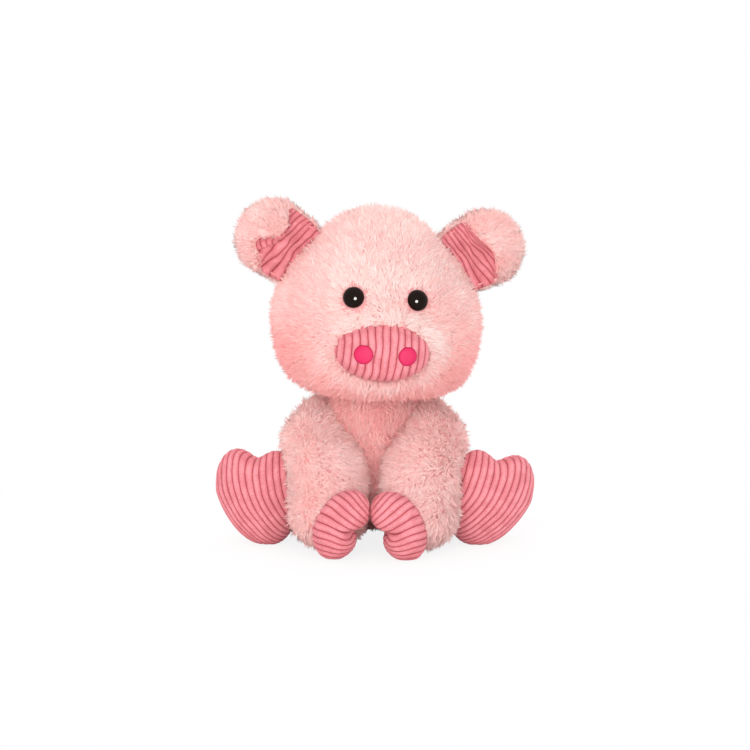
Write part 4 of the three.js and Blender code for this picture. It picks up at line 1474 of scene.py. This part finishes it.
def add_limb(kind, side, surface, hoof, grid_size, strands, seed):
    """The furry part of an arm or a leg: its cloth, and pile wherever it is off the floor and outside
    the hoof."""
    grid = on_side(side, surface(*pole_grid(*grid_size)))
    body = f"{kind}_{side}"
    replaced = (f"{kind}_skin_{side}", f"{kind}_stuffing_{side}")
    limb = add_closed_piece(f"{kind}_plush_{side}", grid, BACKING, body, replaced)
    sign = 1 if side == "left" else -1

    def keep(points):
        """Off the floor, and outside the hoof."""
        share = np.where(points[..., 2] > SOLE_BARE, 1.0, 0.0)
        covered = inside_hoof(hoof, points * np.array((sign, 1, 1)), HOOF_BARE)
        return share * np.where(covered, 0.0, 1.0)

    def comb(points):
        """Down, and towards the pig's middle on an arm."""
        inwards = -ARM_INWARDS * sign if kind == "arm" else 0
        return np.zeros(points.shape) + np.array((inwards, 0, -LIMB_SAG))

    grow_pile(f"{kind}_pile_{side}", body, grid, strands, keep, comb, limb_lit_paleness, seed)


# %% [markdown]
# A hoof is corduroy, cut in two pieces and sewn round its edge, with a pinch between the toes. Its
# ribs run from the toes to the heel. Flat stripes would look printed on, so they bend with the cloth:
# on a foot they curve in to the heel, and on a hand they come together at the notch.


# %% Hooves
FOOT_CURVE, FOOT_STRAIGHT = 0.0085, 18
HAND_FAN, HAND_CURVE = 0.016, 0.006


def add_hoof(kind, hoof_name, side, hoof, grid_size, rib_run):
    """The corduroy hoof at the end of an arm or a leg. rib_run bends and fans its ribs."""
    local, across, along = hoof_grid(hoof, *grid_size, rib_run)
    grid = from_hoof(hoof, local)
    if kind == "leg":
        grid = out_of_arm(grid)
        grid = out_of_swept_torso(grid, HIP, (0, 0, 1), LEG_SPREAD)
    else:
        grid = out_of_swept_torso(grid, SHOULDER, (-1, 0, 0), ARM_LIFT)
    grid = on_side(side, on_floor(grid))
    if side == "right":
        across, along = across[:, ::-1], along[:, ::-1]
    piece = add_closed_piece(
        f"{hoof_name}_hoof_{side}", grid, CORDUROY, f"{kind}_{side}",
        (f"{hoof_name}_cover_{side}",), {"cloth": cloth_map(across, along)},
    )


def foot_ribs(x, y):
    """The across coordinate of a foot's cloth: the ribs start straight at the toes and curve in towards
    the heel by a parabola, as the foot's outer edge does."""
    return y - FOOT_CURVE * np.minimum(x - FOOT_STRAIGHT, 0) ** 2


def hand_ribs(x, y):
    """The same for a hand: the ribs come together at the notch, like the creases of a pinched cloth."""
    return y * (1 + HAND_FAN * x) - HAND_CURVE * np.minimum(x, 0) ** 2


print("a foot's middle rib has moved across by", round(foot_ribs(-20, 0), 1), "mm at its heel")

# %% [markdown]
# Now all four limbs are made, the left side first. Each pile has its own seed, the number that its
# chances start from, so no two are alike and each comes out the same at every run.

# %% Both sides
for number, side in enumerate(("left", "right")):
    add_limb("arm", side, arm_surface, HANDS[side], (80, 72), 28000, 31 + number)
    add_limb("leg", side, leg_surface, FEET[side], (60, 60), 11000, 41 + number)
    add_hoof("arm", "hand", side, HANDS[side], (100, 190), hand_ribs)
    add_hoof("leg", "foot", side, FEET[side], (100, 230), foot_ribs)

# %% [markdown]
# The snout is a corduroy cushion with its own stuffing, sewn flat to the face. Its ribs run upright
# and spread a little at both sides, where the cloth is drawn in. The nostrils are discs of satin
# stitching on it. They could be painted on, but real stitching stands up and shines at its rim.

# %% Snout
SNOUT_LEAN, SNOUT_SPREAD, SNOUT_SPREAD_FROM, SNOUT_WANDER = 0.05, 0.25, 36, 0.12


def snout_front(x, z):
    """How far the snout stands forward at a place across and up, in the head's frame."""
    spread = np.sqrt((x / SNOUT_HALF_WIDTH) ** 2 + ((z + SNOUT_DROP) / SNOUT_HALF_HEIGHT) ** 2)
    out = np.sqrt(np.maximum(1 - np.minimum(spread, 1) ** (2 / SNOUT_FULLNESS), 0))
    return SNOUT_DEPTH - SNOUT_REACH - SNOUT_DEPTH * out


def add_snout():
    """x = width * spread * cos, z = height * spread * sin, y = depth * sin(rise): an oval dome whose
    spread is cos(rise) to a power, with its ribs counted across x."""
    way, angle = pole_grid(90, 240)
    rise = (way - 0.5) * np.pi
    spread = np.where((way <= 0) | (way >= 1), 0, np.maximum(np.cos(rise), 0) ** SNOUT_FULLNESS)
    local = np.stack([
        SNOUT_HALF_WIDTH * spread * np.cos(angle),
        -SNOUT_DEPTH * np.sin(rise) + SNOUT_DEPTH - SNOUT_REACH,
        SNOUT_HALF_HEIGHT * spread * np.sin(angle) - SNOUT_DROP,
    ], axis=-1)
    from_back, from_front = meridian_lengths(local)
    far = np.where(way > 0.5, from_front, from_back)
    lean = -SNOUT_LEAN * (local[..., 2] + SNOUT_DROP)
    spread_out = SNOUT_SPREAD * np.sign(local[..., 0]) * np.maximum(far - SNOUT_SPREAD_FROM, 0)
    x = local[..., 0] + lean + spread_out
    across = x / RIB_PITCH + 0.5 + SNOUT_WANDER * smooth_random(local, 9, 61)
    shaped = ribbed(local, across)
    snout = add_closed_piece(
        "snout_pad", from_head(shaped), CORDUROY, "head", ("snout_cover", "snout_stuffing"),
        {"cloth": cloth_map(across, local[..., 2])},
    )


add_snout()

# %% [markdown]
# A nostril is a disc of close stitches. Each stitch could be a small tube, but at this size only their
# ridges show. So it is one disc that follows the snout's dome, with ridges one stitch wide.

# %% Nostrils
STITCH_PITCH, STITCH_HEIGHT, STITCH_DEPTH, STITCH_CROWN = 0.9, 0.1, 0.6, 1.1


def add_nostril(side, sign):
    """A satin-stitched disc that follows the snout: thickness * (1 - r^4)^(1/2), with stitched ridges."""
    rings, sides = 40, 60
    way, angle = pole_grid(rings, sides)
    r = np.where(way < 0.5, 2 * way, 2 * (1 - way))
    top = np.where(way < 0.5, 0.0, 1.0)
    x = sign * NOSTRIL_SPACING / 2 + NOSTRIL_RADIUS * r * np.cos(angle)
    z = -SNOUT_DROP + NOSTRIL_RADIUS * r * np.sin(angle)
    dome = np.sqrt(np.maximum(1 - r**4, 0))
    ridge = STITCH_HEIGHT * np.sin(2 * np.pi * x / STITCH_PITCH)
    y = snout_front(x, z) + STITCH_DEPTH - top * dome * (NOSTRIL_THICKNESS + STITCH_CROWN + ridge)
    cloth = wrapped(np.stack([x - sign * NOSTRIL_SPACING / 2, z + SNOUT_DROP], axis=-1))
    add_closed_piece(
        f"nostril_stitch_{side}", from_head(np.stack([x, y, z], axis=-1)), SATIN, "head",
        (f"nostril_{side}",), {"cloth": cloth},
    )


add_nostril("left", 1)
add_nostril("right", -1)

# %% [markdown]
# Safety eyes are moulded plastic domes with a stem that goes through the cloth. Half a ball would do
# from afar, but a moulded dome has a sharp little rim, and its gloss shows every flat. So it is
# turned from an outline with many steps. The washer that locks the stem inside the head is the CAD
# model's own solid, and it only gets its finish here.

# %% Eyes
EYE_TURNS, EYE_STEPS, EYE_LIFT = 64, 22, 0.7
EYE_STEM_AND_RIM = [(0, -11), (1.7, -11), (2, -10.6), (2, 0.1), (6.9, 0.1), (7.45, 0.3)]


def add_eye(side):
    """The outline's points, radius and height, turned about the line that stands out of the face:
    place + radius * (cos * side_way + sin * up_way) + height * normal."""
    place, normal = EYES[side]
    rise = np.linspace(0, np.pi / 2, EYE_STEPS)
    dome = [(EYE_RADIUS * math.cos(a), EYE_HEIGHT * math.sin(a) + EYE_LIFT) for a in rise]
    outline = np.array(EYE_STEM_AND_RIM + dome)
    outline[-1, 0] = 0
    radius, height = outline[:, 0, None, None], outline[:, 1, None, None]
    angle = (np.arange(EYE_TURNS) * 2 * np.pi / EYE_TURNS)[None, :, None]
    side_way = unit(np.cross(normal, np.array((0, 0, 1.0))))
    up_way = np.cross(side_way, normal)
    grid = place + radius * (np.cos(angle) * side_way + np.sin(angle) * up_way) + height * normal
    name = f"eye_dome_{side}"
    add_closed_piece(name, from_head(grid), EYE_GLOSS, "head", (f"eye_{side}",))


for eye_side in ("left", "right"):
    add_eye(eye_side)
    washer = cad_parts[f"eye_washer_{eye_side}"]
    washer.data.materials.clear()
    washer.data.materials.append(WASHER)
print("washers finished in", WASHER.name)

# %% [markdown]
# An ear is a flat pouch whose tip folds forward, so that its mouth shows the corduroy lining beside
# the head. It could be folded from a flat sheet by a cloth simulation, but then its rim would land
# somewhere else at each run. Here the pouch is a shell worked out by direction from its middle.

# %% Sizes of the ears
EAR_ROOT = np.array((55, 5, 46.0))
EAR_SLANT, EAR_TURN = math.radians(33), math.radians(12)
EAR_REACH, EAR_HALF_OUT, EAR_HALF_IN, EAR_HALF_ALONG, EAR_HALF_DEPTH = 26, 26, 33, 24.5, 11.5
EAR_THICKNESS, EAR_MOUTH_RISE, EAR_FOLD, EAR_FOLD_REACH = 2.6, 1, math.radians(60), 1.4
EAR_LINING_INSET, EAR_TURN_OVER = 1.2, 3.4
EAR_LIP_BACK = 2.5
EAR_LOBES = {"left": ((5, -5, 12),), "right": ((14, -9, 8), (8, 21, 4.5))}
EAR_RIB_PITCH = {"left": 3.3, "right": 4.3}
POCKET_PLACE, POCKET_SLANT, POCKET_HEIGHT = np.array((2.8, -7.5)), math.radians(38), 2.6
EAR_TIP_POWER, EAR_ROOT_POWER = 2, 3


def ear_reach(direction, inset):
    """How far the pouch's skin is in a direction: an oval in plan, round at the tip and squarer at the
    root, and an ellipse through its depth."""
    level = np.hypot(direction[..., 0], direction[..., 1])
    turn = np.arctan2(direction[..., 1], direction[..., 0])
    tip = np.cos(turn) > 0
    length = np.where(tip, EAR_HALF_OUT, EAR_HALF_IN) - inset
    power = np.where(tip, EAR_TIP_POWER, EAR_ROOT_POWER)
    wide = EAR_HALF_ALONG - inset
    oval = ((np.abs(np.cos(turn)) / length) ** power + (np.abs(np.sin(turn)) / wide) ** power) ** (-1 / power)
    return ((level / oval) ** 2 + (direction[..., 2] / (EAR_HALF_DEPTH - inset)) ** 2) ** -0.5


print("ear", EAR_HALF_OUT + EAR_HALF_IN, "by", 2 * EAR_HALF_ALONG, "mm and", 2 * EAR_HALF_DEPTH, "mm thick")

# %% [markdown]
# The mouth takes the front of the root's half, up to a slant at the fold. A straight cut would look
# stamped out, and the real fold's lip is crumpled, each ear in its own way. So lobes push the lip in
# and out along the ear.

# %% The ear's mouth
MOUTH_NORMAL = np.array((-math.sin(EAR_FOLD / 2), 0, math.cos(EAR_FOLD / 2)))
MOUTH_SIDE = np.array((0, 1.0, 0))
MOUTH_UP = np.cross(MOUTH_NORMAL, MOUTH_SIDE)
FOLD_NORMAL = np.array((-math.sin(EAR_FOLD), 0, math.cos(EAR_FOLD)))


def lip_shift(y, side):
    """How far out of its plane the crumpled fold's lip goes: a sum of lobes along the ear, each
    height * exp(-((y - place) / spread)^2)."""
    return sum(h * np.exp(-(((y - at) / spread) ** 2)) for h, at, spread in EAR_LOBES[side]) - EAR_LIP_BACK


def mouth_depth(points, inset, side):
    """More than 0 in the mouth: in front of the root's half and on the root's side of the fold."""
    fold = points @ FOLD_NORMAL - lip_shift(points[..., 1], side) * FOLD_NORMAL[0]
    return np.minimum(points[..., 2] - EAR_MOUTH_RISE, fold - EAR_FOLD_REACH) + inset


for ear_side in ("left", "right"):
    shift = lip_shift(np.array((-12.0, 0, 12)), ear_side)
    print("lip of the", ear_side, "ear moves by", np.round(shift, 1), "mm")

# %% [markdown]
# A meridian of the shell runs from the middle of the back to the mouth, round its lip, and back
# inside. The place where it meets the mouth is found by halving, which needs no formula for the
# crossing and always ends close enough.


# %% The ear's shell
def ear_direction(theta, angle):
    """-mouth_normal * cos(theta) + round_way * sin(theta), so theta is 0 at the middle of the back."""
    round_way = MOUTH_SIDE * np.cos(angle)[..., None] + MOUTH_UP * np.sin(angle)[..., None]
    return -MOUTH_NORMAL * np.cos(theta)[..., None] + round_way * np.sin(theta)[..., None]


def lip_theta(angle, inset, mouth_inset, side):
    """The angle from the back at which each meridian meets the mouth, found by halving."""
    low, high = np.full(angle.shape, 0.3), np.full(angle.shape, np.pi - 0.05)
    for _ in range(30):
        middle = (low + high) / 2
        way = ear_direction(middle, angle)
        past = mouth_depth(way * ear_reach(way, inset)[..., None], mouth_inset, side) > 0
        low, high = np.where(past, low, middle), np.where(past, middle, high)
    return low


def ear_layer(inset, mouth_inset, rings, sides, side):
    """One skin of the pouch, from the middle of its back to the lip."""
    angle = np.arange(sides) * 2 * np.pi / sides
    theta = np.linspace(0, 1, rings)[:, None] * lip_theta(angle, inset, mouth_inset, side)[None, :]
    way = ear_direction(theta, angle[None, :] * np.ones((rings, 1)))
    return way * ear_reach(way, inset)[..., None]


def ear_shell(rings, sides, side):
    """The outside from the back to the lip, then the inside from the lip to the back."""
    inner = ear_layer(EAR_THICKNESS, 0, rings, sides, side)[::-1]
    return np.concatenate([ear_layer(0, 0, rings, sides, side), inner])


print("a shell's grid holds", ear_shell(10, 12, "left").shape, "values")

# %% [markdown]
# The lining lies inside the pouch at a small gap and closes its mouth with a low crown. At the two
# side lips the corduroy is turned over the plush, as it is sewn on the real ear. Colouring the
# pouch's inside would be quicker, but the lining is a cloth of its own, and its turned edge shows.

# %% The ear's lining
LINING_MIDDLE, LINING_CROWN, TURN_OVER_LIFT = -0.8, 2.2, 3.8
OVER_FROM, OVER_TO, OVER_RUN = 10, 14, 8


def ear_cushion(rings, sides, side):
    """The lining: its back follows the inside of the pouch. Its front is turned over the pouch's two
    side lips, and runs from there to a low crown:
    height = middle + (lip - middle) * share^(2 to 3) + crown * (1 - share^2)."""
    back = ear_layer(EAR_THICKNESS + GAP, EAR_LINING_INSET, rings, sides, side)
    edge = back[-1]
    middle = np.array((*edge[:, :2].mean(axis=0), LINING_MIDDLE))
    over = np.clip((np.abs(edge[:, 1]) - OVER_FROM) / OVER_RUN, 0, 1)
    over = over * np.clip((OVER_TO - edge[:, 0]) / OVER_RUN, 0, 1)
    turned = edge + over[:, None] * np.stack([
        np.zeros(sides), np.sign(edge[:, 1]) * EAR_TURN_OVER, np.full(sides, TURN_OVER_LIFT),
    ], axis=-1)
    share = np.linspace(1, 0, rings)[:, None]
    level = middle[:2] + (turned[None, :, :2] - middle[:2]) * share[..., None]
    rim_part = (turned[:, 2] - middle[2]) * share ** (3 - over)
    height = middle[2] + rim_part + LINING_CROWN * (1 - share**2)
    return np.concatenate([back, np.concatenate([level, height[..., None]], axis=-1)])


lining_sample = ear_cushion(12, 24, "right")
print("the right ear's lining is", np.round(np.ptp(lining_sample, axis=(0, 1)), 1), "mm over all")

# %% [markdown]
# On a lining the ribs run along the ear and spread like a fan towards the low end of the mouth, as
# they do where cloth is drawn in on one side. On the pig's right ear the cloth is also crumpled into
# a small pocket, and the ribs turn there. A soft step leads from one way to the other, because a
# sharp one would tear the cloth.

# %% The lining's ribs and pocket
POCKET_RIB_PITCH, EAR_RIB_WANDER, TURN_OVER_RIBS = 4.8, 0.35, 0.8
FAN_START, FAN_SPREAD, FAN_FROM = 18, 0.03, 8
POCKET_EDGE, POCKET_EDGE_SLOPE, POCKET_EDGE_SHARPNESS, POCKET_CREASE_SHARPNESS = 0.5, 0.35, 3, 5


def soft_step(value):
    """From 0 to 1 round the value 0: 1 / (1 + exp(-value))."""
    return 1 / (1 + np.exp(-np.clip(value, -30, 30)))


def ear_pocket(x, y, side):
    """How far a place on the lining is on the little pocket that the crumpled cloth makes, from 0 to 1.
    Only one ear has it: out from the straight ribs, and above a slanting crease."""
    if side == "left":
        return np.zeros(x.shape)
    slant_x, slant_y = math.cos(POCKET_SLANT), math.sin(POCKET_SLANT)
    past_crease = (x - POCKET_PLACE[0]) * slant_x + (y - POCKET_PLACE[1]) * slant_y
    past_ribs = x - POCKET_EDGE_SLOPE * y + POCKET_EDGE
    return soft_step(POCKET_CREASE_SHARPNESS * past_crease) * soft_step(POCKET_EDGE_SHARPNESS * past_ribs)


def ear_ribs(points, side):
    """Counts ribs across the lining. They run along the ear, spread like a fan towards the low end of
    the mouth, and are turned on the pocket."""
    x = points[..., 0] + TURN_OVER_RIBS * np.maximum(points[..., 2] - 1, 0)
    y = points[..., 1]
    fan = (x + FAN_START) / (EAR_RIB_PITCH[side] * (1 + FAN_SPREAD * np.maximum(FAN_FROM - y, 0)))
    turned = (x * math.sin(POCKET_SLANT) - y * math.cos(POCKET_SLANT)) / POCKET_RIB_PITCH
    pocket = ear_pocket(points[..., 0], y, side)
    return fan + (turned - fan) * pocket + EAR_RIB_WANDER * smooth_random(points, 8, 71)


print("ribs over the right ear's lining", round(np.ptp(ear_ribs(lining_sample, "right")), 1))

# %% [markdown]
# An ear is worked out flat, in a frame of its own, because a fold is simple to describe there. Then
# it is stood on the side of the head at a slant, with its mouth turned a little to the outside.


# %% The ear's own frame
def ear_frame():
    """The ear's axes in the head's frame, out to the tip, along the root and to the front, and the
    pouch's middle: root + out * reach + front * root_depth."""
    along = np.array((-math.sin(EAR_SLANT), 0, math.cos(EAR_SLANT)))
    level_out = np.array((math.cos(EAR_SLANT), 0, math.sin(EAR_SLANT)))
    front = np.array((0, -math.cos(EAR_TURN), 0)) - math.sin(EAR_TURN) * level_out
    out = np.cross(along, front)
    root_depth = EAR_HALF_DEPTH * math.sqrt(1 - (EAR_REACH / EAR_HALF_IN) ** 2) - EAR_THICKNESS / 2
    centre = EAR_ROOT + out * EAR_REACH + front * root_depth
    return np.stack([out, along, front]), centre


def from_ear(points):
    """From the ear's frame to the head's."""
    axes, centre = ear_frame()
    return points @ axes + centre


def ear_local(points):
    """From the head's frame to the ear's."""
    axes, centre = ear_frame()
    return (points - centre) @ axes.T


print("the ear's middle in the head's frame", np.round(ear_frame()[1], 1))

# %% [markdown]
# Both ears are made with the same helpers, each with its own lobes, ribs and pocket. The ribs and the
# crumple are kept off the lining's back, which lies against the pouch and is never seen.

# %% Ears
LINING_RINGS, LINING_SIDES, LINING_EDGE_RINGS, LINING_RIB_HEIGHT = 90, 200, 6, 0.9
CRUMPLE, CREASE_DEPTH, CREASE_PLACE, CREASE_SPREAD = 1.1, 2.5, -14, 4
EAR_PILE_FROM, EAR_COMB_FROM, EAR_STANDING = -26, np.array((-30.0, 0, 0)), 0.5
LIP_TRIM, LIP_TRIM_REACH = 0.5, 3


def crumpled_lining(side):
    """The lining with ribs and crumples on its front: a smooth random height, the pocket's height, and
    a crease of depth * exp(-((x - place) / spread)^2) beside the head. Also its count of ribs and its
    coordinate along them."""
    flat = ear_cushion(LINING_RINGS, LINING_SIDES, side)
    across = ear_ribs(flat, side)
    inner = np.clip((np.arange(len(flat))[:, None] - LINING_RINGS) / LINING_EDGE_RINGS, 0, 1)
    pocket = POCKET_HEIGHT * ear_pocket(flat[..., 0], flat[..., 1], side)
    crease = CREASE_DEPTH * np.exp(-(((flat[..., 0] - CREASE_PLACE) / CREASE_SPREAD) ** 2))
    crumple = CRUMPLE * smooth_random(flat, 6, 72) + pocket - crease
    relief = (rib_profile(across) - RIB_MEAN) * LINING_RIB_HEIGHT * inner
    lining = flat + outward(flat) * relief[..., None]
    lining[..., 2] += crumple * inner
    return lining, across, flat[..., 1]


def add_ear(side, sign):
    """One ear: its shell, its lining and its pile, mirrored for the right by sign."""
    shell = ear_shell(40, 120, side)
    lining, across, along = crumpled_lining(side)
    if sign < 0:
        across, along = across[:, ::-1], along[:, ::-1]

    def placed(grid):
        """From the ear's frame to the pig's, mirrored for the right and run round the other way."""
        world = from_head(from_ear(grid) * np.array((sign, 1, 1)))
        return world[:, ::-1] if sign < 0 else world

    body = f"ear_{side}"
    skin = add_closed_piece(
        f"ear_shell_{side}", placed(shell), BACKING, body, (f"ear_back_{side}",)
    )
    inside = add_closed_piece(
        f"ear_lining_cloth_{side}", placed(lining), CORDUROY, body, (f"ear_lining_{side}",),
        {"cloth": cloth_map(across, along)},
    )

    def in_ear(points):
        """From the pig's frame to the ear's."""
        return ear_local(to_head(points) * np.array((sign, 1, 1)))

    def keep(points):
        """On the pouch's outside, and clear of the root's seam."""
        local = in_ear(points)
        outside = np.linalg.norm(local, axis=-1) > ear_reach(unit(local), EAR_THICKNESS * 0.15)
        return np.where(outside & (local[..., 0] > EAR_PILE_FROM), 1.0, 0.0)

    def comb(points):
        """Out to the ear's tip."""
        local = in_ear(points)
        axes, _ = ear_frame()
        return (unit(local - EAR_COMB_FROM) @ axes * np.array((sign, 1, 1))) @ HEAD_AXES.T

    def length(points):
        """Shorter beside the mouth's lip."""
        near = np.exp(-((np.minimum(mouth_depth(in_ear(points), 0, side), 0) / LIP_TRIM_REACH) ** 2))
        return STRAND_LENGTH * (1 - LIP_TRIM * near)

    seed = 81 if side == "left" else 82
    grow_pile(
        f"ear_pile_{side}", body, placed(shell), 13000, keep, comb, ear_paleness, seed, length, EAR_STANDING
    )


add_ear("left", 1)
add_ear("right", -1)

# %% [markdown]
# The tail can't be seen in the photograph. Toys of this kind have a short stuffed curl, so it is one:
# a round roll that thins towards its end and winds once round, with a short pile that starts where it
# leaves the torso's own fur. A curve object with a bevel would give the same roll, but no outward
# grid for the pile to grow on.

# %% Tail
TAIL_ROOT_Y, TAIL_ROOT_Z, TAIL_CURL, TAIL_LENGTH = 36, 30, 8.5, 25
TAIL_THICK, TAIL_THIN, TAIL_TURNS = 5.5, 3.5, 1.15
TAIL_BARE, TAIL_STRAND_LENGTH, TAIL_COMB = 42, 5.0, np.array((0, 0.8, 0))


def add_tail():
    """A round section that shrinks along a widening spiral about the tail's own length."""
    way, angle = pole_grid(60, 24)

    def middle(w):
        """The roll's middle line: (curl * w * sin, root + length * w, root + curl * w * (1 - cos))."""
        turn = 2 * np.pi * TAIL_TURNS * w
        return np.stack([
            TAIL_CURL * np.sin(turn) * w,
            TAIL_ROOT_Y + TAIL_LENGTH * w,
            TAIL_ROOT_Z + TAIL_CURL * (1 - np.cos(turn)) * w,
        ], axis=-1)

    along = unit(middle(way + 0.02) - middle(way - 0.02))
    out = unit(np.cross(np.array((0, 0, 1.0)), along))
    up = np.cross(along, out)
    close = np.sqrt(np.maximum(1 - np.abs(2 * way - 1) ** 8, 0))
    radius = (TAIL_THICK + (TAIL_THIN - TAIL_THICK) * way) * close
    grid = middle(way) + out * (radius * np.cos(angle))[..., None] + up * (radius * np.sin(angle))[..., None]
    tail = add_closed_piece("tail_plush", grid, BACKING, "tail", ("tail",))

    def keep(points):
        """Behind the torso's own fur."""
        return np.where(points[..., 1] > TAIL_BARE, 1.0, 0.0)

    def comb(points):
        """Straight back."""
        return np.zeros(points.shape) + TAIL_COMB

    grow_pile("tail_pile", "tail", grid, 2400, keep, comb, limb_lit_paleness, 91, length=TAIL_STRAND_LENGTH)


add_tail()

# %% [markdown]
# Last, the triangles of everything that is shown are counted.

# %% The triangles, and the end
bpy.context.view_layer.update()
meshes = [piece.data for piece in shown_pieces() if piece.type == "MESH"]
print("triangles", sum(len(mesh.loops) - 2 * len(mesh.polygons) for mesh in meshes))
